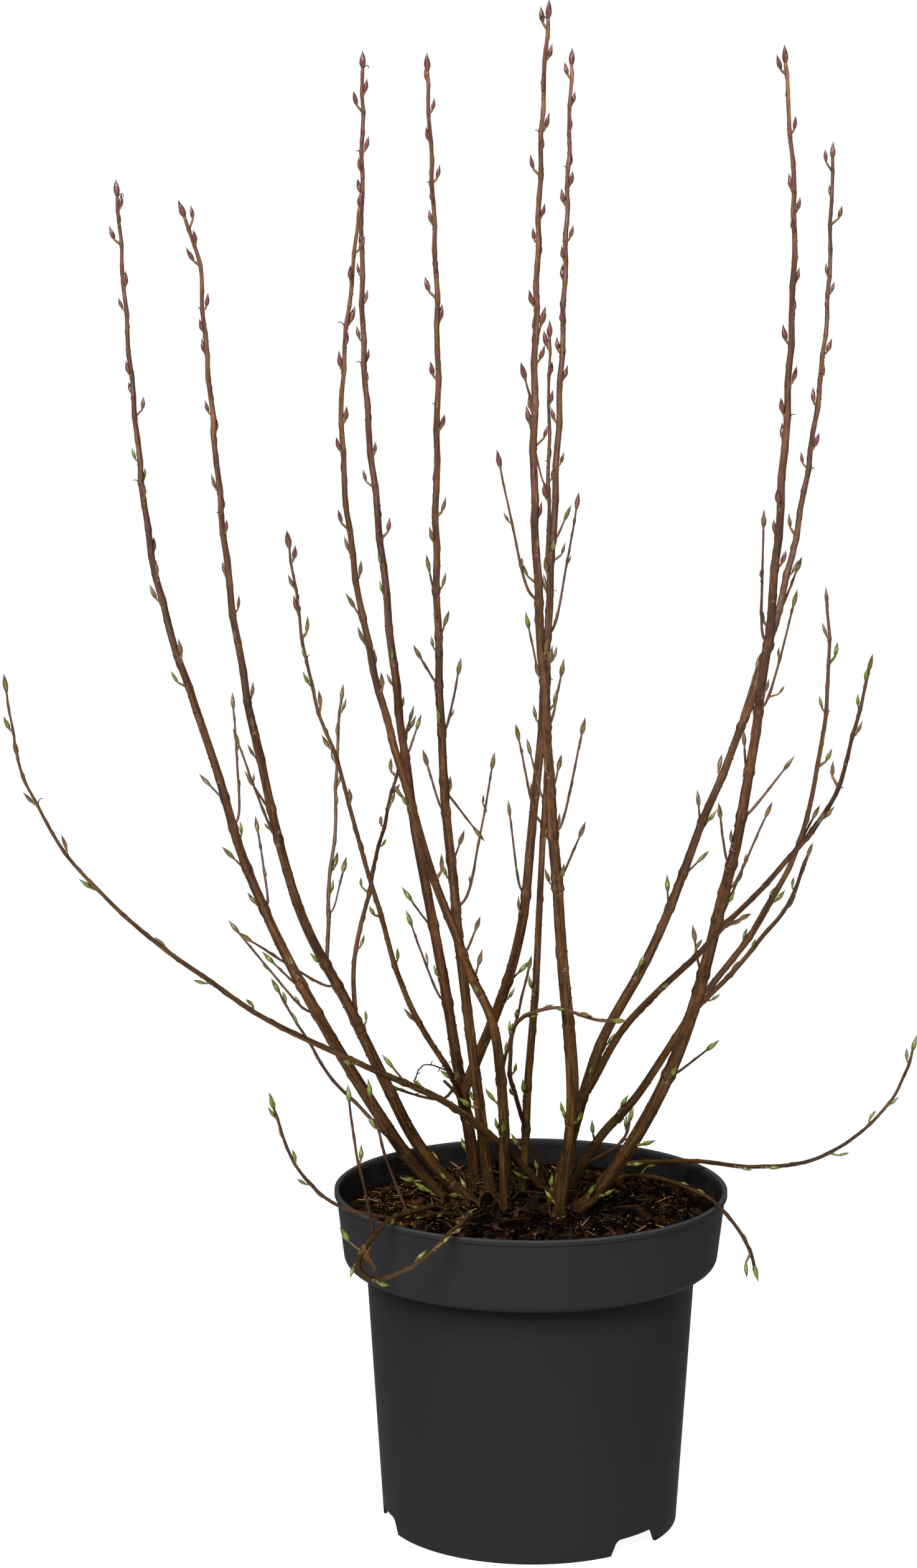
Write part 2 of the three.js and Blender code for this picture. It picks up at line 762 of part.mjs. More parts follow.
const shrub = new THREE.Group();
shrub.add(mesh("pot", potSolid(), 0x303032, 0.55));
shrub.add(mesh("compost", compostSolid(), 0x2a1c12, 0.95));
shrub.add(mesh("stool", stoolSolid(), 0x4a3624, 0.9));
for (const [name, entry] of limbs) {
  const fork = entry.parent && cutter(entry.parent);
  const clearOfFork = (made) => (fork ? largest(made.subtract(fork)) : made);
  if (entry.split > entry.begin) {
    shrub.add(mesh(name + "_bough", clearOfFork(boughSolid(name, entry)), 0x5a4325, 0.85));
    shrub.add(mesh(name + "_spray", spraySolid(name, entry), 0x7d553f, 0.7));
  } else {
    shrub.add(mesh(name + "_spray", clearOfFork(spraySolid(name, entry)), 0x6b4a36, 0.75));
  }
  const own = entry.twigs.some((t) => t.low) && cutter(entry);
  for (const { twig, low, node } of entry.twigs) {
    if (!low) continue;
    const bare = tube(twig, stations(twig, 0, twig.length), FACES.shoot);
    const shoot = withBuds(bare, twig, 0, twig.length, node, node);
    shrub.add(mesh(node, largest(shoot.subtract(own)), 0x6b4a36, 0.75));
  }
}

export default shrub;
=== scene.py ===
# A flowering currant at winter's end, bare canes and swelling buds, in a round nursery pot.
import math

import bpy
import numpy as np
from mathutils import Euler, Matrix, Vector


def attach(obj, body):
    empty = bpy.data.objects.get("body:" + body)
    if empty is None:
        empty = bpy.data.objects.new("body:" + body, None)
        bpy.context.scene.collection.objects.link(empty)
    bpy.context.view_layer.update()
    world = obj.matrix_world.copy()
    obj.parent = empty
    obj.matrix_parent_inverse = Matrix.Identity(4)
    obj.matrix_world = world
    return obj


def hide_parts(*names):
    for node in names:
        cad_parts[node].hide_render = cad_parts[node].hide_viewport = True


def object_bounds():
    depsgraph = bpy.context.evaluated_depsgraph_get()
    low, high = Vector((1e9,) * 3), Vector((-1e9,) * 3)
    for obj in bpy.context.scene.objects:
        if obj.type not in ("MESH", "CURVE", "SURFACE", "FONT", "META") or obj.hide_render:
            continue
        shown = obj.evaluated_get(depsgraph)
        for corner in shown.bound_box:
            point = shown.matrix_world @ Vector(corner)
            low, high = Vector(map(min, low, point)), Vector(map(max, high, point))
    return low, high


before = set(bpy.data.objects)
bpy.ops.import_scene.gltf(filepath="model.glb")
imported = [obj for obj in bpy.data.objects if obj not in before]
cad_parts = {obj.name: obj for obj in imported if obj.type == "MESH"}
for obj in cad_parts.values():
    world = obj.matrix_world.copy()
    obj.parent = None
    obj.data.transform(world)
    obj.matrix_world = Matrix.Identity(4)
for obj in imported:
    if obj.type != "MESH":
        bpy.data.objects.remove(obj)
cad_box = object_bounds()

# The camera stands 2.6 m in front of the plant, a little to the left, at the height of the upper
# canes, and looks down by nine degrees, as in the photo.
CAMERA_PLACE = (-0.0515, -2.600, 0.945)
CAMERA_TILT = 9.0
FOCAL_PIXELS, PHOTO_HEIGHT, SENSOR = 6034, 2520, 36

bpy.ops.object.camera_add(location=CAMERA_PLACE, rotation=(math.radians(90 - CAMERA_TILT), 0, 0))
camera = bpy.context.object
camera.data.sensor_width = SENSOR
camera.data.lens = SENSOR * FOCAL_PIXELS / PHOTO_HEIGHT
bpy.context.scene.camera = camera


# The pot is moulded in one piece from charcoal polypropylene: a thin wall that widens upwards, a deep
# collar with a turned lip, and a raised floor on three feet with water gaps and drain holes. It is
# drawn up ring by ring, the gaps and holes are cut out, and every edge is softened.
MM = 0.001
TURN = 2 * math.pi
POT_SIDES = 120
POT_HEIGHT = 242
LIP_RADIUS, LIP_HEIGHT = 140, 3.5
COLLAR_TOP, COLLAR_BOTTOM, COLLAR_HEIGHT, COLLAR_ROUND = 138.5, 133.5, 54, 8
SHOULDER_RADIUS, FOOT_RADIUS, CENTRE_FOOT = 117.5, 105.5, 24
WALL, FLOOR_HEIGHT, DRAFT = 2.5, 11.5, 1
FOOT_GAP_TURNS = (-46, 74, -166)
GAP_WIDTH, GAP_SPREAD, GAP_HEIGHT, GAP_DEPTH = 36, 5, 11, 22
GAP_ROUND, GAP_SEGMENTS = 3.5, 5
DRAIN_COUNT, DRAIN_RADIUS, DRAIN_RING, DRAIN_SIDES = 6, 5, 76, 24
WALL_RINGS = (160, 120, 80, 50, 30, 20, 15, 12.6)
SHELF = POT_HEIGHT - COLLAR_HEIGHT
LIP_BOTTOM = POT_HEIGHT - LIP_HEIGHT
CORNER_STEPS = 6
EDGE_ROUND, EDGE_SEGMENTS, EDGE_ANGLE, SMOOTH_ANGLE = 0.9, 3, 35, 30


def collar_corner(radius, rounding, bottom):
    """Rings of the rounded corner under the collar, from the shelf outwards."""
    turns = [math.pi / 2 * i / CORNER_STEPS for i in range(CORNER_STEPS + 1)]
    centre, height = radius - rounding, bottom + rounding
    return [(centre + rounding * math.sin(t), height - rounding * math.cos(t)) for t in turns]


def inside_of_pot(gap):
    """Rings of the pot's inner wall from the lip down to the floor, moved inwards by a gap."""
    inset = WALL + gap
    floor = FLOOR_HEIGHT + WALL + gap
    corner = collar_corner(COLLAR_BOTTOM - inset, COLLAR_ROUND - WALL, SHELF + inset)
    return [
        (COLLAR_TOP - inset, LIP_BOTTOM),
        *reversed(corner),
        (SHOULDER_RADIUS - inset, SHELF + inset),
        (FOOT_RADIUS - inset, floor),
        (CENTRE_FOOT, floor),
    ]


def deselect_all():
    bpy.ops.object.select_all(action="DESELECT")


def edit_all():
    """Opens the newest object's mesh for editing, with all of it selected."""
    bpy.ops.object.mode_set(mode="EDIT")
    bpy.ops.mesh.select_all(action="SELECT")


def drawn_up(name, rings, sides):
    """A closed round body: a circle is extruded and resized from ring to ring, and its ends are filled."""
    deselect_all()
    radius, height = rings[0]
    bpy.ops.mesh.primitive_circle_add(vertices=sides, radius=radius * MM)
    body = bpy.context.object
    body.name = name
    edit_all()
    bpy.ops.transform.translate(value=(0, 0, height * MM))
    for next_radius, next_height in rings[1:]:
        rise = {"value": (0, 0, (next_height - height) * MM)}
        bpy.ops.mesh.extrude_region_move(TRANSFORM_OT_translate=rise)
        widen = next_radius / radius
        bpy.ops.transform.resize(value=(widen, widen, 1), center_override=(0, 0, 0))
        radius, height = next_radius, next_height
    bpy.ops.mesh.select_all(action="SELECT")
    bpy.ops.mesh.fill_holes(sides=0)
    bpy.ops.mesh.normals_make_consistent(inside=False)
    bpy.ops.object.mode_set(mode="OBJECT")
    return body


def apply_modifier(piece, kind, **settings):
    """Adds a modifier to a piece, sets it and applies it."""
    deselect_all()
    piece.select_set(True)
    bpy.context.view_layer.objects.active = piece
    bpy.ops.object.modifier_add(type=kind)
    modifier = piece.modifiers[-1]
    for key, value in settings.items():
        setattr(modifier, key, value)
    bpy.ops.object.modifier_apply(modifier=modifier.name)


pot = drawn_up("pot_shell", [
    *reversed(inside_of_pot(0)),
    (COLLAR_TOP - WALL + DRAFT, POT_HEIGHT),
    (LIP_RADIUS, POT_HEIGHT),
    (LIP_RADIUS, LIP_BOTTOM),
    (COLLAR_TOP, LIP_BOTTOM),
    *reversed(collar_corner(COLLAR_BOTTOM, COLLAR_ROUND, SHELF)),
    (SHOULDER_RADIUS, SHELF),
    *[(FOOT_RADIUS + (SHOULDER_RADIUS - FOOT_RADIUS) * z / SHELF, z) for z in WALL_RINGS],
    (FOOT_RADIUS, 0),
    (FOOT_RADIUS - WALL, 0),
    (FOOT_RADIUS - WALL - DRAFT, FLOOR_HEIGHT),
    (CENTRE_FOOT + DRAFT, FLOOR_HEIGHT),
    (CENTRE_FOOT, 0),
], POT_SIDES)

cutters = []
for turn in FOOT_GAP_TURNS:
    deselect_all()
    bpy.ops.mesh.primitive_cube_add(size=1, location=(0, 0, 0))
    gap = bpy.context.object
    edit_all()
    bpy.ops.transform.resize(value=(GAP_DEPTH * MM, GAP_WIDTH * MM, (GAP_HEIGHT + DRAFT) * MM))
    bpy.ops.transform.translate(value=(FOOT_RADIUS * MM, 0, (GAP_HEIGHT - DRAFT) / 2 * MM))
    bpy.ops.mesh.select_all(action="DESELECT")
    bpy.ops.object.mode_set(mode="OBJECT")
    for vertex in gap.data.vertices:
        vertex.select = vertex.co.z < 0
    bpy.ops.object.mode_set(mode="EDIT")
    foot_widen = 1 + 2 * GAP_SPREAD / GAP_WIDTH
    bpy.ops.transform.resize(value=(1, foot_widen, 1), center_override=(0, 0, 0))
    bpy.ops.mesh.select_mode(type="EDGE")
    bpy.ops.mesh.select_all(action="DESELECT")
    bpy.ops.object.mode_set(mode="OBJECT")
    for edge in gap.data.edges:
        one, other = (gap.data.vertices[i].co for i in edge.vertices)
        edge.select = min(one.z, other.z) > 0 and abs(one.y - other.y) < MM
    bpy.ops.object.mode_set(mode="EDIT")
    bpy.ops.mesh.bevel(offset=GAP_ROUND * MM, segments=GAP_SEGMENTS, affect="EDGES")
    bpy.ops.mesh.select_mode(type="VERT")
    bpy.ops.object.mode_set(mode="OBJECT")
    gap.rotation_euler.z = math.radians(turn)
    cutters.append(gap)
for i in range(DRAIN_COUNT):
    turn = TURN * (i + 0.5) / DRAIN_COUNT
    ring = DRAIN_RING * MM
    deselect_all()
    bpy.ops.mesh.primitive_cylinder_add(
        vertices=DRAIN_SIDES, radius=DRAIN_RADIUS * MM, depth=4 * WALL * MM,
        location=(ring * math.cos(turn), ring * math.sin(turn), (FLOOR_HEIGHT + WALL / 2) * MM),
    )
    cutters.append(bpy.context.object)
for cutter in cutters:
    apply_modifier(pot, "BOOLEAN", operation="DIFFERENCE", solver="EXACT", object=cutter)
    bpy.data.objects.remove(cutter)
apply_modifier(
    pot, "BEVEL", width=EDGE_ROUND * MM, segments=EDGE_SEGMENTS,
    limit_method="ANGLE", angle_limit=math.radians(EDGE_ANGLE),
)
bpy.ops.object.shade_smooth_by_angle(angle=math.radians(SMOOTH_ANGLE))


def feed(tree, inputs, values):
    """Fills sockets by name or number: a socket is linked to them, anything else is set on them."""
    for key, value in values.items():
        if isinstance(value, bpy.types.NodeSocket):
            tree.links.new(value, inputs[key])
        else:
            inputs[key].default_value = value


def node_maker(tree):
    """A function that adds a node to a tree, with its inputs and its settings."""
    def node(kind, inputs=None, **settings):
        added = tree.nodes.new(kind)
        for key, value in settings.items():
            setattr(added, key, value)
        feed(tree, added.inputs, inputs or {})
        return added

    return node


def new_material(name):
    """A material with a Principled shader, and its node maker."""
    material = bpy.data.materials.new(name)
    material.use_nodes = True
    return material, node_maker(material.node_tree)


def painted(material, base, dull, gloss, relief=None):
    """Finishes a material with its base colour, roughness, specular level and relief."""
    values = {"Base Color": base, "Roughness": dull, "Specular IOR Level": gloss}
    if relief:
        values["Normal"] = relief
    feed(material.node_tree, material.node_tree.nodes["Principled BSDF"].inputs, values)
    return material


def object_place(node):
    return node("ShaderNodeTexCoord").outputs["Object"]


def along_axis(node, place, axis):
    return node("ShaderNodeSeparateXYZ", {"Vector": place}).outputs[axis]


def noise(node, place, scale, detail, roughness=0.5):
    inputs = {"Vector": place, "Scale": scale, "Detail": detail, "Roughness": roughness}
    return node("ShaderNodeTexNoise", inputs).outputs["Fac"]


def spots(node, place, scale):
    return node("ShaderNodeTexVoronoi", {"Vector": place, "Scale": scale}).outputs["Distance"]


def ramp(node, factor, stops):
    """A colour ramp through stops of (place, linear colour or grey)."""
    added = node("ShaderNodeValToRGB", {"Fac": factor})
    for _ in stops[2:]:
        added.color_ramp.elements.new(0.5)
    for element, (place, colour) in zip(added.color_ramp.elements, stops):
        element.position = place
        element.color = (*(np.ones(3) * colour), 1)
    return added.outputs["Color"]


def ranged(node, value, start, end, low=0, high=1):
    """A value's place between a start and an end, as a value between low and high."""
    inputs = {"Value": value, "From Min": start, "From Max": end, "To Min": low, "To Max": high}
    return node("ShaderNodeMapRange", inputs).outputs["Result"]


def mix(node, factor, colour, other, blend="MIX"):
    inputs = {"Factor": factor, "A": colour, "B": other}
    return node("ShaderNodeMix", inputs, data_type="RGBA", blend_type=blend).outputs["Result"]


def times(node, colour, other):
    return mix(node, 1.0, colour, other, "MULTIPLY")


def bumped(node, height, strength, depth):
    """Relief from a pattern, by its strength and its depth in mm."""
    inputs = {"Height": height, "Strength": strength, "Distance": depth * MM}
    return node("ShaderNodeBump", inputs).outputs["Normal"]


# Greys of the plastic and its clouding; a painted highlight on the lip; painted shade on the body and a
# painted shadow below the collar.
CHARCOAL, CLOUDED, LIP_PAINTED_HIGHLIGHT = 0.0158, 0.0184, (0.040, 0.042, 0.044, 1)
LIP_HIGHLIGHT_FROM, LIP_HIGHLIGHT_FULL = 1.3, 0.2
BODY_PAINTED_SHADE, COLLAR_PAINTED_SHADOW, COLLAR_SHADOW_HEIGHT, COLLAR_SHADOW_END = 0.80, 0.44, 26, 0.97
CLOUD_SCALE, GRAIN_SCALE, GRAIN_STRENGTH, GRAIN_DEPTH = 14, 1500, 0.25, 0.15
PLASTIC_DULL, PLASTIC_GLOSS = (0.62, 0.74), 0.03
# Peaty stains on the inner wall, painted far darker than the plastic as shade inside the pot.
STAIN_SCALE, SHADED_STAIN_DARK, SHADED_STAIN_PALE = 90, (0.0035, 0.0032, 0.0028), (0.0100, 0.0090, 0.0080)
STAIN_DULL, STAIN_GLOSS = 0.7, 0.1


def charcoal_plastic():
    """Satin charcoal polypropylene: fine grain, faint clouding, painted shade on the body, a painted shadow
    under the collar, a painted highlight on the lip.
    """
    material, node = new_material("charcoal_plastic")
    place = object_place(node)
    clouds = noise(node, place, CLOUD_SCALE, 4)
    base = ramp(node, clouds, [(0.3, CHARCOAL), (0.7, CLOUDED)])
    height = along_axis(node, place, "Z")
    # A painted highlight: the top of the lip is painted paler, as a bright line of light along its edge.
    lip_highlight = ranged(node, height, (POT_HEIGHT - LIP_HIGHLIGHT_FROM) * MM, (POT_HEIGHT - LIP_HIGHLIGHT_FULL) * MM)
    # Painted shade: the body is painted darker than the collar, and darkest in a painted shadow band right
    # below the collar.
    below = ranged(node, height, (SHELF - COLLAR_SHADOW_HEIGHT) * MM, SHELF * MM)
    base = times(node, base, ramp(node, below, [(0.0, BODY_PAINTED_SHADE), (COLLAR_SHADOW_END, COLLAR_PAINTED_SHADOW), (1.0, 1)]))
    base = mix(node, lip_highlight, base, LIP_PAINTED_HIGHLIGHT)
    dull = ranged(node, clouds, 0, 1, *PLASTIC_DULL)
    grain = noise(node, place, GRAIN_SCALE, 2)
    return painted(material, base, dull, PLASTIC_GLOSS, bumped(node, grain, GRAIN_STRENGTH, GRAIN_DEPTH))


def shaded_soiled_plastic():
    """The inner wall above the compost: stained by peaty water, and painted dark as shade inside the pot."""
    material, node = new_material("shaded_soiled_plastic")
    stains = noise(node, object_place(node), STAIN_SCALE, 5)
    base = ramp(node, stains, [(0.35, SHADED_STAIN_DARK), (0.7, SHADED_STAIN_PALE)])
    return painted(material, base, STAIN_DULL, STAIN_GLOSS)


pot.data.materials.append(charcoal_plastic())
pot.data.materials.append(shaded_soiled_plastic())
# The inner wall between the collar's shelf and the lip takes the stained plastic with its painted shade.
for face in pot.data.polygons:
    inward = face.normal.x * face.center.x + face.normal.y * face.center.y < 0
    if inward and SHELF * MM < face.center.z < (LIP_BOTTOM - 0.5) * MM:
        face.material_index = 1
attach(pot, "root")
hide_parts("pot")


# The compost is moist peat and bark fibre, packed in to a finger's breadth under the rim. Its body is
# drawn up inside the wall like the pot, and its open top is lumped by three sizes of cloud texture.
CLEAR = 0.3
COMPOST_TOP, COMPOST_EDGE, COMPOST_FLAT = 228, 224, 84
COMPOST_SIDES, COMPOST_RINGS = 240, 58
# Size and height of the lumps, and how they fade out toward the wall.
LUMPS = ((22, 5), (7, 3.2), (2.6, 1.6))
FADE_WIDTH, EDGE_WEIGHT = 6, 0.35

walls = inside_of_pot(CLEAR)
(brim_radius, brim_height), (upper_radius, upper_height) = walls[:2]
share = (COMPOST_EDGE - upper_height) / (brim_height - upper_height)
edge_radius = upper_radius + (brim_radius - upper_radius) * share
surface = []
for i in range(1, COMPOST_RINGS + 1):
    radius = edge_radius * i / COMPOST_RINGS
    fall = max(0, (radius - COMPOST_FLAT) / (edge_radius - COMPOST_FLAT))
    surface.append((radius, COMPOST_TOP - (COMPOST_TOP - COMPOST_EDGE) * fall))
compost = drawn_up("compost_body", [*surface, *walls[1:]], COMPOST_SIDES)
top = compost.vertex_groups.new(name="top")
for vertex in compost.data.vertices:
    inboard = min(1, (edge_radius * MM - vertex.co.xy.length) / (FADE_WIDTH * MM))
    if vertex.co.z > (COMPOST_EDGE - 1) * MM:
        top.add([vertex.index], EDGE_WEIGHT + (1 - EDGE_WEIGHT) * max(0, inboard), "REPLACE")
for size, strength in LUMPS:
    clouds = bpy.data.textures.new("compost_lumps", "CLOUDS")
    clouds.noise_scale = size * MM
    clouds.noise_depth = 2
    apply_modifier(
        compost, "DISPLACE", texture=clouds, strength=strength * MM, mid_level=0.5,
        direction="Z", texture_coords="LOCAL", vertex_group="top",
    )
bpy.ops.object.shade_smooth()


# The painted shade on the compost round the stool, where the canes shade it: its middle, where it is full and
# where it ends, and how dark it is.
PAINTED_SHADE_AT, PAINTED_SHADE_FULL, PAINTED_SHADE_GONE, PAINTED_SHADE_DEPTH = (22, -38, 228), 52, 102, 0.40
CRUMB_SCALE, LUMP_SCALE, FLECK_SCALE = 260, 70, 420
RUST_SHARE, PEAT_DULL, PEAT_GLOSS, PEAT_STRENGTH, PEAT_DEPTH = 0.45, 0.9, 0.03, 0.9, 1.2


def dimmed(colour, share):
    return tuple(channel * share for channel in colour)


def peat(name, dark, light, rust):
    """Moist peat: near black hollows, brown crumbs, rusty lumps and flecks, and painted shade round the
    stool.
    """
    material, node = new_material(name)
    place = object_place(node)
    crumbs = noise(node, place, CRUMB_SCALE, 6, 0.7)
    rusty = ramp(node, noise(node, place, LUMP_SCALE, 3), [(0.50, 0), (0.68, 0.8)])
    base = ramp(node, crumbs, [(0.38, dark), (0.62, light)])
    base = mix(node, rusty, base, (*dimmed(rust, RUST_SHARE), 1))
    flecks = ramp(node, spots(node, place, FLECK_SCALE), [(0.10, 1), (0.22, 0)])
    base = mix(node, flecks, base, (*rust, 1))
    # Painted shade: darker toward a spot by the stool, where the canes shade the compost.
    shade_centre = [side * MM for side in PAINTED_SHADE_AT]
    off = node("ShaderNodeVectorMath", {0: place, 1: shade_centre}, operation="DISTANCE").outputs["Value"]
    base = times(node, base, ranged(node, off, PAINTED_SHADE_FULL * MM, PAINTED_SHADE_GONE * MM, PAINTED_SHADE_DEPTH))
    return painted(material, base, PEAT_DULL, PEAT_GLOSS, bumped(node, crumbs, PEAT_STRENGTH, PEAT_DEPTH))


moist_peat = peat("moist_peat", (0.0006, 0.0003, 0.0001), (0.0034, 0.0015, 0.0004), (0.090, 0.037, 0.010))
compost.data.materials.append(moist_peat)
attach(compost, "root")
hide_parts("compost")


# The shrub is a stool of about a dozen canes that rise from one foot, with forks and side twigs. Each
# limb is a smooth path through a few way points, in mm, with a girth that tapers and a place for each
# bud, which a seeded rule spaces from the tip down, as the solids under it do.
STEPS = 16
LOOK = 4
SHORTEST_SHARE = 0.5
BUD_TIP, BUD_SIDE, BUD_LOW, LOW_UP_TO = 13, 10.5, 8.5, 420
BUD_GAP, BUD_LOW_GAP, BUD_LOWEST = 32, 44, 0.4
BUD_NEAR_TIP, TIP_SHARE = 9, 0.8
BUD_TURN, BUD_TURN_SPREAD = 137.5, 30
NEAR_TIP_SPREAD, SIZE_SPREAD, GAP_SPREAD_SHARE = 0.4, 0.3, 0.5
KINK = 1
HEEL, HEEL_FLARE = 16, 1.75
# Name, the limb that it forks from and how far along that, radius at base and tip, length of bough
# before the budding spray, way points, and side twigs by height, compass turn, length and lean.
CANES = [
    ("west_outer", None, (5, 1.5), 190,
     [(-58, 10, 225), (-106, 26, 283), (-188, 62, 422), (-230, 85, 540), (-270, 103, 668),
      (-286, 115, 800), (-297, 125, 951)],
     [(354, 190, 92, 14), (372, 150, 39, 24), (425, 40, 71, 22), (456, 200, 23, 30),
      (483, 10, 98, 17), (510, 160, 25, 32)]),
    ("west_inner", None, (4.9, 1.5), 180,
     [(-38, 0, 225), (-82, -4, 277), (-123, -14, 366), (-166, -26, 460), (-203, -45, 640),
      (-221, -58, 835), (-225, -62, 895), (-238, -65, 937)],
     [(391, 200, 83, 30), (494, 250, 93, 16), (517, 160, 31, 24)]),
    ("back_west", None, (4.7, 1.6), 215,
     [(-38, 44, 225), (-50, 70, 305), (-70, 102, 412), (-89, 125, 518), (-106, 148, 664),
      (-121, 164, 830), (-121, 172, 1043)],
     [(352, 190, 74, 14), (411, 165, 36, 30), (491, 200, 23, 30), (531, 20, 32, 30)]),
    ("front_west", None, (4.2, 1.5), 200,
     [(-18, -8, 225), (-24, -30, 353), (-47, -45, 416), (-81, -62, 518), (-116, -85, 660),
      (-129, -100, 797), (-115, -115, 944)],
     [(400, 0, 22, 40), (418, 340, 33, 42), (660, 200, 20, 24)]),
    ("middle_west", None, (4.4, 1.5), 200,
     [(-28, 20, 225), (-41, 22, 331), (-60, 17, 510), (-67, 8, 690), (-66, 0, 850),
      (-73, -12, 1035)],
     [(435, 10, 115, 20), (464, 330, 25, 30), (507, 170, 47, 16), (529, 10, 52, 150),
      (561, 20, 54, 18), (593, 200, 35, 32), (628, 330, 21, 25), (661, 160, 25, 14)]),
    ("front_east", None, (5.2, 1.5), 235,
     [(19, -28, 223), (28, -42, 323), (18, -58, 447), (9, -75, 575), (-1, -95, 752),
      (2, -116, 961), (7, -125, 1065)],
     [(464, 300, 22, 26), (474, 350, 45, 29), (503, 10, 85, 19), (535, 340, 27, 20),
      (580, 15, 47, 18), (610, 330, 27, 18), (667, 185, 108, 12), (804, 200, 29, 20),
      (833, 350, 22, 16)]),
    ("back_middle", ("back_west", 73), (4.2, 1.6), 140,
     [(-12, 72, 389), (3, 87, 495), (14, 105, 646), (24, 128, 852), (30, 145, 1044)],
     [(371, 20, 22, 34), (435, 170, 70, 18), (591, 200, 51, 20), (618, 40, 108, 12),
      (691, 340, 28, 25)]),
    ("middle", None, (3.4, 1.1), 180,
     [(-6, 27, 225), (0, 30, 328), (6, 33, 430), (11, 35, 560), (12, 36, 854)],
     [(494, 190, 75, 18), (509, 140, 46, 24), (720, 170, 60, 16)]),
    ("east_inner", None, (5.5, 1.6), 215,
     [(24, -14, 223), (54, -18, 252), (96, -30, 331), (125, -45, 432), (146, -60, 543),
      (162, -78, 692), (170, -98, 904), (161, -108, 1037)],
     [(328, 340, 45, 30), (405, 160, 35, 28), (445, 20, 41, 14), (463, 350, 73, 14),
      (484, 200, 48, 24), (515, 10, 54, 32), (545, 170, 30, 16), (585, 330, 90, 10),
      (637, 210, 95, 10)]),
    ("east_outer", None, (4.4, 1.5), 185,
     [(14, 8, 225), (48, 20, 335), (90, 42, 413), (129, 65, 507), (162, 85, 589), (192, 108, 695),
      (213, 126, 840), (218, 140, 978)],
     [(433, 150, 24, 30), (459, 10, 24, 28), (495, 190, 22, 30), (560, 100, 60, 18),
      (640, 60, 45, 18)]),
    ("front_arch", ("east_outer", 82), (3, 1.4), 165,
     [(67, -20, 365), (120, -75, 435), (164, -110, 492), (199, -135, 548), (220, -155, 643)],
     [(450, 300, 26, 24), (520, 250, 22, 22)]),
    ("back_arch", None, (3.6, 1.4), 160,
     [(27, 38, 225), (50, 46, 266), (81, 62, 298), (125, 85, 359), (176, 110, 424),
      (207, 130, 494), (221, 145, 587), (219, 150, 655)],
     [(400, 100, 50, 22), (470, 60, 34, 22)]),
    ("back_arch_fork", ("back_arch", 158), (2, 1.2), 0,
     [(144, 74, 379), (164, 64, 406), (184, 52, 435), (201, 38, 484)],
     []),
    ("front_sweep", None, (3.2, 0.9), 200,
     [(18, 26, 225), (-21, 0, 273), (-66, -30, 315), (-123, -70, 350), (-200, -115, 402),
      (-290, -152, 485), (-335, -167, 560), (-348, -172, 632)],
     [(329, 60, 24, 50)]),
    ("inner_bow", ("back_west", 56), (2.6, 1), 150,
     [(-56, 22, 318), (-85, -10, 375), (-111, -45, 467), (-131, -75, 550), (-151, -98, 619),
      (-165, -120, 721)],
     []),
    ("twin_fork", ("west_inner", 214), (1.5, 0.9), 0,
     [(-143, 10, 455), (-139, 30, 502), (-138, 48, 552), (-134, 60, 595)],
     [(440, 20, 45, 14)]),
    ("leaning_fork", ("west_inner", 167), (1.8, 0.9), 0,
     [(-125, 16, 403), (-114, 68, 454), (-98, 146, 515), (-85, 166, 565)],
     []),
    ("low_fork_west", ("west_outer", 47), (1.5, 0.8), 0,
     [(-120, 38, 288), (-149, 58, 316), (-188, 90, 374)],
     []),
    ("elbow_fork", ("middle", 52), (1.7, 1), 0,
     [(-12, -2, 312), (-15, -18, 335), (-12, -36, 368), (13, -60, 386), (44, -80, 382),
      (63, -92, 384)],
     []),
    ("thin_fork", ("front_west", 102), (1.2, 0.8), 0,
     [(-15, -16, 355), (-8, -28, 381), (-1, -45, 419)],
     []),
    ("knot_twig", ("back_west", 85), (1.1, 0.8), 0,
     [(-61, 44, 297), (-77, 34, 300), (-103, 18, 312)],
     []),
    ("old_raceme", ("back_west", 67), (0.9, 0.6), 0,
     [(-55, 50, 311), (-66, 40, 321), (-77, 32, 324), (-82, 30, 316), (-78, 28, 306)],
     []),
    ("east_low_fork", ("back_arch", 26), (1.3, 0.8), 0,
     [(57, 30, 261), (68, 30, 272), (74, 32, 293)],
     [(268, 300, 18, 30)]),
    ("rim_sweep_east", None, (1.9, 0.9), 120,
     [(42, 30, 225), (62, 36, 247), (116, 43, 250), (164, 52, 243), (216, 62, 249), (261, 74, 282),
      (276, 82, 308), (284, 88, 332)],
     []),
    ("rim_droop_east", None, (1.6, 1.1), 105,
     [(38, 16, 225), (68, 12, 247), (99, -22, 252), (125, -60, 249), (141, -80, 236),
      (151, -88, 216), (155, -90, 200)],
     []),
    ("rim_sweep_west", None, (1.5, 0.9), 85,
     [(-46, -14, 225), (-64, -42, 234), (-86, -70, 238), (-105, -92, 246), (-132, -102, 256),
      (-153, -108, 273), (-169, -112, 302), (-180, -114, 338)],
     []),
    ("rim_loop", None, (1.9, 1.5), 165,
     [(-58, -10, 225), (-70, -38, 238), (-86, -74, 244), (-97, -105, 248), (-108, -126, 243),
      (-120, -138, 226), (-109, -146, 217), (-91, -152, 224), (-72, -152, 236), (-55, -134, 248),
      (-42, -85, 248)],
     []),
    ("rim_riser_outer", ("rim_loop", 133), (1.1, 0.8), 0,
     [(-115, -120, 274), (-123, -112, 306), (-127, -104, 341)],
     []),
    ("rim_riser_inner", ("rim_loop", 78), (1.1, 0.8), 0,
     [(-101, -72, 281), (-110, -66, 311), (-114, -62, 335)],
     []),
]


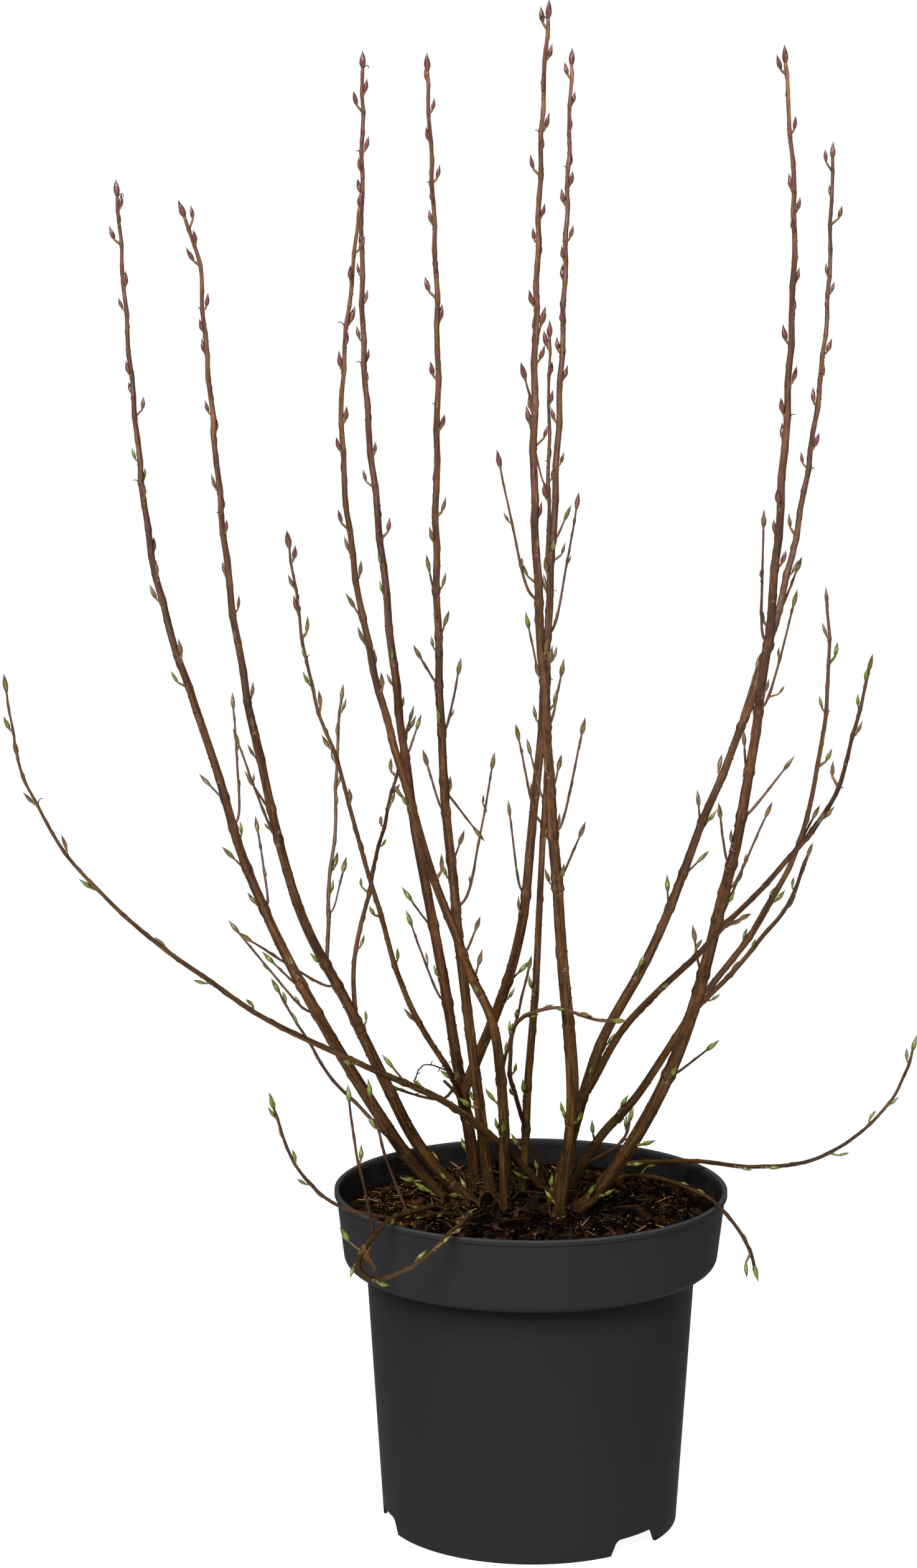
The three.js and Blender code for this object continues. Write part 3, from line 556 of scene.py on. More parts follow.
def dice(seed):
    """A seeded run of numbers from 0 to 1."""
    state = seed * 7919 + 17
    while True:
        state = state * 16807 % 2147483647
        yield state / 2147483647


def vary(roll, spread):
    """A factor about 1 that varies by a spread."""
    return 1 + spread * (next(roll) - 0.5)


def unit(vector):
    """A vector, or each of several, made one long."""
    return vector / np.linalg.norm(vector, axis=-1, keepdims=True)


class Limb:
    """A limb: its length, its centre, direction and radius at any length from its base, and its buds."""

    def __init__(self, path, girth, gap, seed):
        points = [np.array(point, float) for point in path]
        padded = [2 * points[0] - points[1], *points, 2 * points[-1] - points[-2]]
        places = [points[0]]
        for a, b, c, d in zip(padded, padded[1:], padded[2:], padded[3:]):
            leave, reach = (c - a) / 2, (d - b) / 2
            for t in np.arange(1, STEPS + 1) / STEPS:
                curve = (-3 * b + 3 * c - 2 * leave - reach) * t**2 + (2 * b - 2 * c + leave + reach) * t**3
                places.append(b + leave * t + curve)
        self.places = np.array(places)
        lengths = np.linalg.norm(np.diff(self.places, axis=0), axis=1)
        self.along = np.concatenate([[0], np.cumsum(lengths)])
        self.length = max(self.along[-1] - TIP_SHARE * BUD_TIP, SHORTEST_SHARE * self.along[-1])
        self.base, self.tip = girth
        self.seed = seed
        self.forks = []
        self.buds = []
        roll = dice(seed)
        turn = 360 * next(roll)
        s = self.length - BUD_NEAR_TIP * vary(roll, NEAR_TIP_SPREAD)
        while s > BUD_LOWEST * gap:
            self.buds.append({"s": s, "turn": turn, "size": vary(roll, SIZE_SPREAD)})
            turn += BUD_TURN + BUD_TURN_SPREAD * (next(roll) - 0.5)
            low = 1 - s / self.length
            s -= (gap + BUD_LOW_GAP * low * low) * vary(roll, GAP_SPREAD_SHARE)
        self.kink(KINK)

    def kink(self, amount):
        """Shifts the wood at every bud, away from it, and eases it back between."""
        kinks = [(self.length, np.zeros(3))]
        kinks += [(bud["s"], -amount * self.side(bud["s"], bud["turn"])) for bud in self.buds]
        kinks.append((0, np.zeros(3)))
        self.kink_at = np.array([s for s, _ in kinks[::-1]])
        self.kinks = np.array([shift for _, shift in kinks[::-1]])

    def smooth(self, s):
        return np.stack([np.interp(s, self.along, self.places[:, axis]) for axis in range(3)], -1)

    def centre(self, s):
        kink = np.stack([np.interp(s, self.kink_at, self.kinks[:, axis]) for axis in range(3)], -1)
        return self.smooth(s) + kink

    def heading(self, s):
        reach = min(LOOK, self.length / 4)
        return unit(self.smooth(s + reach) - self.smooth(np.maximum(s - reach, 0)))

    def radius(self, s):
        return self.base + (self.tip - self.base) * s / self.length

    def side(self, s, turn):
        forward = self.heading(s)
        out = np.array([math.cos(math.radians(turn)), math.sin(math.radians(turn)), 0])
        return unit(out - forward * out.dot(forward))

    def at_height(self, z):
        return self.along[max(0, int(np.argmax(self.places[:, 2] >= z)))]


limbs = {}
for number, (name, fork, girth, bough, path, twigs) in enumerate(CANES):
    start = []
    if fork:
        parent = limbs[fork[0]]["wood"]
        start = [parent.centre(fork[1])]
        parent.forks.append(fork[1])
    begin = 0 if fork else HEEL + CLEAR
    wood = Limb([*start, *path], girth, BUD_GAP, number + 1)
    limbs[name] = {"wood": wood, "fork": fork, "begin": begin, "split": bough or begin, "rows": twigs}
    limbs[name]["twigs"] = []


# Side twigs leave the canes at a wide angle and soon run straight. Each is a thin limb of its own, and
# one that would touch the wood of another limb isn't grown.
TWIG_BASE, TWIG_TIP, TWIG_SHARE, TWIG_SET_OFF, TWIG_GAP, TWIG_SEED = 1.35, 0.85, 0.6, 22, 26, 100
TWIG_CLEAR, TWIG_FREE, STRETCH = 1, 2, 8
TWIG_SLIM, TWIG_BENDS = 0.72, ((0.14, 20), (0.5, 4), (1, 0))
DRIED = "old_raceme"
placed_lines, placed_names = [], []


def stretches(wood, start, end):
    """Short straight stretches of a limb, as rows of start, end and radius."""
    count = max(2, math.ceil((end - start) / STRETCH))
    marks = [start + (end - start) * i / count for i in range(count + 1)]
    return [(*wood.centre(a), *wood.centre(b), wood.radius(a)) for a, b in zip(marks, marks[1:])]


def lay(rows, node, owner):
    """Notes stretches of wood that others must keep clear of."""
    placed_lines.extend(rows)
    placed_names.extend([(node, owner)] * len(rows))


def is_clear(rows, gap, node, carrier):
    """Whether stretches stay clear of all the wood of other nodes and limbs."""
    kept = [n != node and o != carrier for n, o in placed_names]
    others = np.array([line for line, keep in zip(placed_lines, kept) if keep])
    a, b, radius = others[:, :3], others[:, 3:6], others[:, 6]
    run = b - a
    square = np.maximum((run * run).sum(1), 1e-9)
    for row in rows:
        start, end = np.array(row[:3]), np.array(row[3:6])
        for share in (0, 0.5, 1):
            point = start + (end - start) * share
            t = np.clip(((point - a) * run).sum(1) / square, 0, 1)
            apart = np.linalg.norm(a + run * t[:, None] - point, axis=1)
            if (apart <= radius + row[6] + gap).any():
                return False
    return True


def twig_path(base, forward, out, length, lean, bends):
    """Way points of a side twig, each a share of its length away, at a lean from the cane plus a bend."""
    path = [base]
    for share, bend in bends:
        angle = math.radians(lean + bend)
        path.append(base + share * length * (forward * math.cos(angle) + out * math.sin(angle)))
    return path


for name, entry in limbs.items():
    wood, begin, split = entry["wood"], entry["begin"], entry["split"]
    if split > begin:
        lay(stretches(wood, begin, split), name + "_bough", name)
    lay(stretches(wood, split, wood.length), name + "_spray", name)

seed = TWIG_SEED
for name, entry in limbs.items():
    wood, split = entry["wood"], entry["split"]
    for height, turn, length, lean in entry["rows"]:
        seed += 1
        s = wood.at_height(height)
        forward, out = wood.heading(s), wood.side(s, turn)
        bends = ((0.5, TWIG_SET_OFF / 2), (1, 0))
        girth = np.array([min(TWIG_BASE, TWIG_SHARE * wood.radius(s)), TWIG_TIP])
        twig = Limb(twig_path(wood.centre(s), forward, out, length, lean, bends), girth, TWIG_GAP, seed)
        low = s < split
        count = sum(other["low"] for other in entry["twigs"]) + 1
        node = f"{name}_shoot_{count}" if low else name + "_spray"
        rows = stretches(twig, wood.radius(s) + TWIG_FREE, twig.length)
        if is_clear(rows, TWIG_CLEAR, node, name):
            lay(rows, node, node if low else name)
            wood.forks.append(s)
            path = twig_path(wood.centre(s), forward, out, length, lean, TWIG_BENDS)
            straight = Limb(path, TWIG_SLIM * girth, TWIG_GAP, seed)
            entry["twigs"].append({"wood": straight, "s": s, "turn": turn, "low": low, "node": node})


# Toward the tips the nodes stand closer than in the solids, and the wood bends a little at each, away
# from its bud. Between its nodes a cane is also slimmer than its solid, which takes in buds and bark.
FINE_GAP, FINE_FROM, FINE_SIZE, FINE_KINK, TWIG_KINK = 24, 560, 0.95, 0.75, 0.3
THIN_BELOW = 2.4
SLIM_FOOT, SLIM_TIP = 0.92, 0.77


def refined(wood, fill, kink):
    """Sets a bud midway between any two that stand far apart, and kinks the wood at each."""
    buds = wood.buds
    wood.buds = []
    for above, below in zip(buds, [*buds[1:], None]):
        wood.buds.append(above)
        if fill and below and above["s"] - below["s"] > FINE_GAP:
            middle = (above["s"] + below["s"]) / 2
            if wood.smooth(middle)[2] > FINE_FROM or wood.base < THIN_BELOW:
                turn = (above["turn"] + below["turn"]) / 2 + 180
                size = FINE_SIZE * min(above["size"], below["size"])
                wood.buds.append({"s": middle, "turn": turn, "size": size})
    wood.kink(kink)


for entry in limbs.values():
    wood = entry["wood"]
    refined(wood, True, FINE_KINK)
    entry["stout"] = wood.base > THIN_BELOW
    if entry["stout"]:
        wood.base *= SLIM_FOOT
        wood.tip *= SLIM_TIP
    for twig in entry["twigs"]:
        refined(twig["wood"], False, TWIG_KINK)


# Bark covers the canes. Close-set rings carry its ridges, splits and warts, a swelling and a ring at
# every node and a flared heel at the foot. It is golden brown and split near the pot, and redder,
# smoother and paler toward the tips, and changes at a node.
BARK_TRAITS = ("slot", "step", "relief", "light", "dull", "gloss")
BARK_ROWS = {
    "cane_feet": ("old_wood", 2.1, 1.2, 1.0, 0.84, 0.08),
    "old_canes": ("old_wood", 2.2, 1.0, 1.0, 0.78, 0.10),
    "middle_canes": ("young_wood", 2.6, 0.95, 1.0, 0.64, 0.15),
    "young_canes": ("young_wood", 2.9, 0.85, 1.0, 0.45, 0.36),
    "cane_tops": ("young_wood", 3.1, 0.72, 0.96, 0.36, 0.5),
    "low_twigs": ("young_wood", 3.8, 0.8, (1.24, 1.26, 1.75), 0.66, 0.14),
    "side_twigs": ("young_wood", 4.0, 0.7, 1.05, 0.46, 0.36),
}
BARKS = {kind: dict(zip(BARK_TRAITS, row)) for kind, row in BARK_ROWS.items()}
FEET_UP_TO, YOUNG_FROM, TOPS_FROM, THIN_SPRAY = 290, 600, 800, 1.75
SIDES_FOR_MM, FEWEST_SIDES, MOST_SIDES = 5.2, 8, 26
NODE_MARKS = (-3.6, -2.4, -1.5, -0.7, 0.3, 1.4, 2.8, 4.8)
ACROSS = (0.36, 0.93, 0)
RIDGES = ((2, 0.034), (3, 0.034), (5, 0.032), (8, 0.028), (11, 0.020))
RIDGE_DRIFT, RIDGE_SWING, SPLIT_DRIFT, SPLIT_RUN = (30, 50), (9, 16), (40, 40), (7, 12)
SPLITS, SPLIT_DEPTH, SPLIT_WIDTH = 6, 0.11, 0.17
WART_GAP, WART_RISE, WART_REACH = 6, 0.40, 1.5
SWELL_SHARE, SWELL, RING_SHARE = 0.10, 0.26, 0.07
SWELL_ABOVE, SWELL_BELOW, RING_BELOW, RING_WIDTH, NODE_REACH = 3.4, 2.0, 1.9, 0.7, 8
FACING_AWAY, FORK_WEIGHT, GRAIN_SHIFT = 0.25, 1.2, (730, 0, 400)
NODE_WITHIN, NODE_OFFSET, SHORTEST_CUT, CLOSEST_RINGS = 40, 1.8, 15, 0.5


def wrapped(blocks):
    """Several blocks of (points, faces, a value for each point) as one."""
    faces, start = [], 0
    for points, block_faces, _ in blocks:
        faces += [[i + start for i in face] for face in block_faces]
        start += len(points)
    points, _, values = zip(*blocks)
    return np.concatenate(points), faces, np.concatenate(values)


def joined(name, blocks, material):
    """One piece from blocks in mm; a point's value is its grain, its place in the material's pattern."""
    points, faces, grain = wrapped(blocks)
    mesh = bpy.data.meshes.new(name)
    mesh.from_pydata(points * MM, [], faces)
    mesh.attributes.new("grain", "FLOAT_VECTOR", "POINT").data.foreach_set("vector", (grain * MM).ravel())
    mesh.shade_smooth()
    mesh.materials.append(material)
    piece = bpy.data.objects.new(name, mesh)
    bpy.context.scene.collection.objects.link(piece)
    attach(piece, "root")
    return piece


def ring_places(start, end, marks, step):
    """Lengths of the rings: evenly apart, closer at each node, none nearly on another."""
    places = set(np.linspace(start, end, max(2, round((end - start) / step) + 1)))
    for mark in marks:
        places.update(mark + shift for shift in NODE_MARKS if start < mark + shift < end)
    kept = []
    for s in sorted(places):
        if not kept or s - kept[-1] > CLOSEST_RINGS:
            kept.append(s)
    kept[-1] = end
    return kept


def frames(wood, places):
    """The centre and two crossing directions of a ring at each place, untwisted along the limb."""
    forward = wood.heading(places)
    across = np.empty_like(forward)
    last = np.array(ACROSS)
    for i, ahead in enumerate(forward):
        last = unit(last - ahead * last.dot(ahead))
        across[i] = last
    return wood.centre(places), across, np.cross(forward, across)


def skin(centre, across, up, radii, places, offset):
    """A closed tube through rings of given radii, with its grain laid out straight."""
    count, sides = radii.shape
    turns = np.arange(sides) * TURN / sides
    ways = across[:, None] * np.cos(turns)[None, :, None] + up[:, None] * np.sin(turns)[None, :, None]
    points = centre[:, None] + ways * radii[:, :, None]
    own = np.stack([radii * np.cos(turns), radii * np.sin(turns), np.repeat(places[:, None], sides, 1)], 2)
    ring, side = np.meshgrid(np.arange(count - 1) * sides, np.arange(sides), indexing="ij")
    beside = (side + 1) % sides
    corners = [ring + side, ring + beside, ring + sides + beside, ring + sides + side]
    faces = np.stack(corners, 2).reshape(-1, 4).tolist()
    faces.append(list(range(sides))[::-1])
    faces.append([(count - 1) * sides + i for i in range(sides)])
    return points.reshape(-1, 3), faces, own.reshape(-1, 3) + offset


def aside(turns, line):
    """How far each turn lies from a line, the short way round."""
    return np.angle(np.exp(1j * (turns - line)))


def wave(roll, places, shortest, spread):
    """A wave along a limb, whose length and phase are drawn."""
    return np.sin(places / (shortest + spread * next(roll)) + TURN * next(roll))


def relief(wood, places, turns, plain, depth):
    """How far bark stands off its plain round at each ring and side, in mm: ridges, splits and warts."""
    roll = dice(wood.seed + 500)
    shape = np.zeros((len(places), len(turns)))
    for ridges, share in RIDGES:
        drift = TURN * next(roll) + (0.8 + next(roll)) * wave(roll, places, *RIDGE_DRIFT)
        swing = 0.65 + 0.35 * wave(roll, places, *RIDGE_SWING)
        if ridges < len(turns) / 2:
            shape += share * swing[:, None] * np.cos(ridges * turns + drift[:, None])
    for _ in range(SPLITS):
        line = TURN * next(roll) + 0.5 * wave(roll, places, *SPLIT_DRIFT)
        opened = np.clip(1.5 * wave(roll, places, *SPLIT_RUN), 0, 1)
        shape -= SPLIT_DEPTH * opened[:, None] * np.exp(-(aside(turns, line[:, None]) / SPLIT_WIDTH) ** 2)
    shape *= plain[:, None] * depth
    for _ in range(int(wood.length / WART_GAP)):
        s, turn, rise = wood.length * next(roll), TURN * next(roll), WART_RISE * (0.4 + next(roll))
        near = abs(places - s) < 3 * WART_REACH
        along = (places[near] - s) / WART_REACH
        around = aside(turns, turn) * wood.radius(s) / WART_REACH
        shape[near] += depth * rise * np.exp(-along[:, None] ** 2 - around ** 2)
    return shape


def barked(wood, cuts, heel=False):
    """A limb in its bark: a block for each stretch between two cuts, in that stretch's kind of bark."""
    roll = dice(wood.seed + 700)
    marks = [(bud["s"], bud["turn"], 0.5 + 0.8 * next(roll), TURN * next(roll)) for bud in wood.buds]
    marks += [(s, None, FORK_WEIGHT, 0) for s in wood.forks]
    rings, first = [], [0]
    for start, end, kind in cuts:
        added = ring_places(start, end, [mark[0] for mark in marks], BARKS[kind]["step"])
        rings += added[1:] if rings else added
        first.append(len(rings) - 1)
    rings = np.array(rings)
    centre, across, up = frames(wood, rings)
    blocks = []
    for (start, end, kind), low, high in zip(cuts, first, first[1:]):
        cut = slice(low, high + 1)
        places = rings[cut]
        plain = wood.radius(places)
        sides = int(np.clip(round(SIDES_FOR_MM * plain[0]), FEWEST_SIDES, MOST_SIDES))
        turns = np.arange(sides) * TURN / sides
        radii = plain[:, None] + relief(wood, places, turns, plain, BARKS[kind]["relief"])
        for s, turn, weight, crook in marks:
            if not start - NODE_REACH < s < end + NODE_REACH:
                continue
            past = places - s
            swell = np.exp(-(past / np.where(past > 0, SWELL_ABOVE, SWELL_BELOW)) ** 2)
            ring = RING_SHARE * plain * np.exp(-((past + RING_BELOW) / RING_WIDTH) ** 2)
            toward = np.ones(sides)
            if turn is not None:
                out = wood.side(s, turn)
                nearest = low + int(np.argmin(abs(past)))
                facing = math.atan2(out.dot(up[nearest]), out.dot(across[nearest]))
                toward = FACING_AWAY + (1 - FACING_AWAY) * np.clip(np.cos(turns - facing), 0, 1) ** 2
            crooked = 0.5 + 0.5 * np.cos(turns + crook)
            swollen = ((SWELL_SHARE * plain + SWELL) * swell)[:, None] * toward
            radii += weight * (swollen + ring[:, None] * crooked)
        if heel:
            radii *= (1 + (HEEL_FLARE - 1) * np.clip(1 - places / HEEL, 0, 1) ** 2)[:, None]
        offset = np.array(GRAIN_SHIFT) * wood.seed
        blocks.append((kind, skin(centre[cut], across[cut], up[cut], radii, places, offset)))
    return blocks


def node_near(wood, s):
    """The node nearest to a length, where one colour of bark gives way to the next."""
    marks = [bud["s"] for bud in wood.buds if abs(bud["s"] - s) < NODE_WITHIN]
    return min(marks, key=lambda mark: abs(mark - s)) - NODE_OFFSET if marks else s


def cut_up(wood, start, end, heights, kinds):
    """A length of a limb cut at the nodes nearest to some heights, with the kind of bark of each stretch."""
    marks = [start]
    for height in heights:
        mark = node_near(wood, wood.at_height(height))
        if marks[-1] + SHORTEST_CUT < mark < end - SHORTEST_CUT:
            marks.append(mark)
    marks.append(end)
    cuts = []
    for low, high in zip(marks, marks[1:]):
        middle = wood.centre((low + high) / 2)[2]
        cuts.append((low, high, kinds[sum(middle > height for height in heights)]))
    return cuts


bark_blocks = {name: [] for name in BARKS}
bough_nodes, spray_nodes = [], []
for name, entry in limbs.items():
    wood, fork, split, begin = entry["wood"], entry["fork"], entry["split"], entry["begin"]
    spray_nodes.append(name + "_spray")
    if name == DRIED:
        continue
    cuts, change = [], 0
    if split > begin:
        bough_nodes.append(name + "_bough")
        change = node_near(wood, split)
        if entry["stout"]:
            cuts += cut_up(wood, 0, change, (FEET_UP_TO,), ("cane_feet", "old_canes"))
        else:
            cuts.append((0, change, "old_canes"))
    if wood.radius(split) > THIN_SPRAY:
        kinds = ("middle_canes", "young_canes", "cane_tops")
        cuts += cut_up(wood, change, wood.length, (YOUNG_FROM, TOPS_FROM), kinds)
    else:
        cuts += cut_up(wood, change, wood.length, (LOW_UP_TO,), ("low_twigs", "side_twigs"))
    woods = [(wood, cuts, not fork)]
    for twig in entry["twigs"]:
        if twig["low"]:
            spray_nodes.append(twig["node"])
        kind = "low_twigs" if twig["wood"].centre(0)[2] < LOW_UP_TO else "side_twigs"
        woods.append((twig["wood"], [(0, twig["wood"].length, kind)], False))
    for limb, limb_cuts, heel in woods:
        for kind, block in barked(limb, limb_cuts, heel):
            bark_blocks[kind].append(block)


# Bark colour by height, from the compost to the tips, and how far golden moss stains it.
BARK_GRADE = (
    (235, (0.0275, 0.0130, 0.0034), 0.95),
    (290, (0.0425, 0.0205, 0.0066), 0.75),
    (380, (0.0585, 0.0275, 0.0104), 0.3),
    (500, (0.0700, 0.0322, 0.0144), 0.12),
    (650, (0.0790, 0.0360, 0.0168), 0.05),
    (800, (0.1060, 0.0462, 0.0232), 0),
    (950, (0.1360, 0.0600, 0.0310), 0),
    (1060, (0.1800, 0.0800, 0.0420), 0),
)
GRADE_FROM, GRADE_TO = BARK_GRADE[0][0], BARK_GRADE[-1][0]
MOSS_GOLD = (1.35, 1.48, 0.78, 1)
IN_SPLITS, ON_FIBRES, IN_STREAKS = (1, 0.95, 0.9), (1.5, 1.55, 1.6), (1, 0.96, 0.92)
NOISE_ROUGH, LIMB_SCALE, AGE_SCALE, LENTICEL_SCALE = 0.65, 3, 6, 560
BARK_STRENGTH, BARK_DEPTH = 0.9, 0.5


def grain_place(node):
    return node("ShaderNodeAttribute", attribute_name="grain").outputs["Vector"]


def stretched(node, place, scale):
    return node("ShaderNodeMapping", {"Vector": place, "Scale": scale}).outputs["Vector"]


def bark(name, dull, gloss, light=1, depth=1, stained=1):
    """Bark: colour by height under short fibre, long streaks, blotches, golden moss stain and pale flecks."""
    material, node = new_material(name)
    own = grain_place(node)

    def drawn_out(along, scale, detail=4):
        """Noise drawn out along the cane."""
        return noise(node, stretched(node, own, (1, 1, along)), scale, detail, NOISE_ROUGH)

    height = ranged(node, along_axis(node, object_place(node), "Z"), GRADE_FROM * MM, GRADE_TO * MM)
    stops = [((z - GRADE_FROM) / (GRADE_TO - GRADE_FROM), colour, moss) for z, colour, moss in BARK_GRADE]
    base = ramp(node, height, [(share, np.multiply(colour, light)) for share, colour, _ in stops])
    mossy = ramp(node, height, [(share, moss * stained) for share, _, moss in stops])
    patches = times(node, mossy, ramp(node, drawn_out(0.3, 110), [(0.44, 0), (0.60, 1)]))
    base = times(node, base, mix(node, patches, (1, 1, 1, 1), MOSS_GOLD))
    fibre = drawn_out(0.16, 1200, 6)
    split = 0.84 - 0.28 * depth
    low, high = 1 - 0.52 * depth, 1 + 0.46 * depth
    layers = (
        (fibre, [(0.34, np.multiply(IN_SPLITS, split)), (0.46, 0.94), (0.57, 1.08), (0.70, ON_FIBRES)]),
        (drawn_out(0.07, 380), [(0.38, np.multiply(IN_STREAKS, low)), (0.60, high)]),
        (drawn_out(0.35, 200), [(0.34, (0.76, 0.73, 0.70)), (0.62, (1.16, 1.17, 1.18))]),
        (drawn_out(0.45, 60), [(0.36, (0.84, 0.78, 0.74)), (0.62, (1.14, 1.16, 1.14))]),
        (noise(node, stretched(node, own, (1, 0, 0)), LIMB_SCALE, 1),
         [(0.34, (0.84, 0.72, 0.76)), (0.5, 1), (0.64, (1.16, 1.12, 0.98))]),
        (noise(node, stretched(node, own, (0, 0, 1)), AGE_SCALE, 1),
         [(0.32, (0.78, 0.76, 0.74)), (0.68, 1.26)]),
        (spots(node, stretched(node, own, (1, 1, 0.5)), LENTICEL_SCALE),
         [(0.10, (1.7, 1.75, 1.8)), (0.19, 1)]),
    )
    for pattern, stops in layers:
        base = times(node, base, ramp(node, pattern, stops))
    return painted(material, base, dull, gloss, bumped(node, fibre, BARK_STRENGTH, BARK_DEPTH * depth))


for name, kind in BARKS.items():
    tones = (kind["dull"], kind["gloss"], kind["light"], kind["relief"], name != "low_twigs")
    piece = joined(name, bark_blocks[name], bark(name + "_bark", *tones))
    if name == "old_canes":
        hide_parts(*bough_nodes)
    if name == "middle_canes":
        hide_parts(*spray_nodes)


# The stool is the old crown that the canes spring from: knuckled roots that run from its heart to each
# heel, mostly sunk in the compost, with frayed fibre round the heels and the dead stubs of older canes.
STOOL_HEART = (-4, 14)
ROOT_RADIUS, ROOT_SHARE, ROOT_THINNEST, ROOT_SUNK = 6.4, 1.1, 3.2, 3.4
ROOT_SIDES, ROOT_RINGS, ROOT_SWAY, ROOT_RIDGED = 12, 22, 2.2, 2.2
KNUCKLES = ((0.13, 4.5), (0.08, 2.1))
STUB_SUNK = 8
# Place, radius, height over the compost, compass turn and lean of each dead stub.
DEAD_STUBS = (
    (8, 36, 4.4, 15, 70, 14), (-24, 34, 3.6, 12, 120, 20), (2, -4, 4.0, 10, 280, 12),
    (36, 14, 3.2, 13, 20, 24), (-36, 16, 3.4, 9, 190, 26), (-4, 50, 2.8, 18, 95, 10),
)


def stick(points, thick, thin, sides=7, rough=0.1, torn=0, seed=1):
    """A rough dry stick through a few points, tapering from one radius to the other; its end may be torn."""
    points = np.array(points, float)
    steps = np.diff(points, axis=0)
    forward = unit(np.concatenate([steps[:1], steps[:-1] + steps[1:], steps[-1:]]))
    across = unit(np.cross(forward, ACROSS))
    places = np.concatenate([[0], np.cumsum(np.linalg.norm(steps, axis=1))])
    roll = dice(seed)
    turns = np.arange(sides) * TURN / sides
    radii = np.linspace(thick, thin, len(points))[:, None] * np.ones(sides)
    for ridges in (2, 3):
        drift = TURN * next(roll) + places / 6
        radii *= 1 + rough * np.cos(ridges * turns + drift[:, None])
    shift = np.array([0, 0, 90 * seed])
    tube, faces, own = skin(points, across, np.cross(forward, across), radii, places, shift)
    for i in range(len(tube) - sides, len(tube)):
        tube[i] += torn * (next(roll) - 0.3) * forward[-1]
    return tube, faces, own


def between(start, end, sag, count):
    """Points from a start to an end, let down or raised by a sag at the middle."""
    share = np.linspace(0, 1, count)[:, None]
    rise = np.array([0, 0, sag]) * np.sin(math.pi * share)
    return np.array(start) * (1 - share) + np.array(end) * share + rise


def root_block(wood):
    """A root from the heart to a heel, knuckled and ridged along its length."""
    heart = np.array([*STOOL_HEART, COMPOST_TOP - ROOT_SUNK])
    foot = wood.centre(HEEL / 2) - (0, 0, ROOT_SUNK)
    run = foot - heart
    share = np.linspace(0, 1, ROOT_RINGS)
    places = share * np.linalg.norm(run)
    forward = unit(run)
    across = unit(np.cross(forward, (0, 0, 1)))
    up = np.cross(across, forward)
    roll = dice(wood.seed + 900)
    sway = ROOT_SWAY * np.sin(share * math.pi) * np.sin(5 * share + TURN * next(roll))
    centre = heart + share[:, None] * run + sway[:, None] * across
    last = max(ROOT_THINNEST, ROOT_SHARE * wood.radius(0))
    plain = ROOT_RADIUS + (last - ROOT_RADIUS) * share
    knuckled = np.ones(ROOT_RINGS)
    for height, run_length in KNUCKLES:
        knuckled += height * np.sin(places / run_length + TURN * next(roll))
    plain *= knuckled
    turns = np.arange(ROOT_SIDES) * TURN / ROOT_SIDES
    radii = np.repeat(plain[:, None], ROOT_SIDES, 1)
    for ridges, height in RIDGES[:4]:
        drift = TURN * next(roll) + 2 * np.sin(places / 9 + TURN * next(roll))
        radii += plain[:, None] * ROOT_RIDGED * height * np.cos(ridges * turns + drift[:, None])
    rows = np.ones((ROOT_RINGS, 1))
    return skin(centre, rows * across, rows * up, radii, places, np.array([0, 0, 700 * wood.seed]))


stool_blocks = [root_block(entry["wood"]) for entry in limbs.values() if not entry["fork"]]
for number, (x, y, radius, height, turn, lean) in enumerate(DEAD_STUBS):
    foot = np.array([x, y, COMPOST_TOP - STUB_SUNK])
    way, slant = math.radians(turn), math.tan(math.radians(lean))
    top = foot + (height + STUB_SUNK) * np.array([slant * math.cos(way), slant * math.sin(way), 1])
    points = between(foot, top, 0, 9)
    stool_blocks.append(stick(points, 1.25 * radius, 0.9 * radius, 12, 0.09, 4, 40 + number))
stool = joined("stool_roots", stool_blocks, bark("root_bark", 0.9, 0.06, 0.36))
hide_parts("stool")


def taken_apart(piece):
    """A modelled shape's points and faces, with the object itself removed."""
    points = np.array([vertex.co for vertex in piece.data.vertices])
    faces = [list(face.vertices) for face in piece.data.polygons]
    bpy.data.objects.remove(piece)
    return points, faces


def bent_sliver(bends):
    """A four-sided sliver, 2 long, drawn out of a small face in steps that each bend aside and taper."""
    deselect_all()
    bpy.ops.mesh.primitive_plane_add(size=0.1, location=(0, 0, -1))
    bpy.ops.object.transform_apply()
    edit_all()
    for bend in bends:
        step = {"value": (bend, -bend / 2, 2 / len(bends))}
        bpy.ops.mesh.extrude_region_move(TRANSFORM_OT_translate=step)
        bpy.ops.transform.resize(value=(0.85, 0.85, 1))
    bpy.ops.mesh.select_all(action="SELECT")
    bpy.ops.mesh.normals_make_consistent(inside=False)
    bpy.ops.object.mode_set(mode="OBJECT")
    points, faces = taken_apart(bpy.context.object)
    return points[:, [2, 0, 1]], faces


FIBRE_GLOSS, FIBRE_RELIEF = 0.15, (0.5, 0.3)


def grained(name, stops, dull, streak=(1, 1, 1), scale=300):
    """A material whose colour and relief follow a piece's own grain."""
    material, node = new_material(name)
    fibre = noise(node, stretched(node, grain_place(node), streak), scale, 5, NOISE_ROUGH)
    return painted(material, ramp(node, fibre, stops), dull, FIBRE_GLOSS, bumped(node, fibre, *FIBRE_RELIEF))


def rough_lump(seed, cuts=0, box=False):
    """A ball or a block about 2 across with its points pushed about."""
    deselect_all()
    if box:
        bpy.ops.mesh.primitive_cube_add(size=2)
    else:
        bpy.ops.mesh.primitive_ico_sphere_add(subdivisions=1, radius=1)
    edit_all()
    if cuts:
        bpy.ops.mesh.subdivide(number_cuts=cuts)
    bpy.ops.transform.vertex_random(offset=0.35, uniform=0.6, seed=seed)
    bpy.ops.object.mode_set(mode="OBJECT")
    return taken_apart(bpy.context.object)


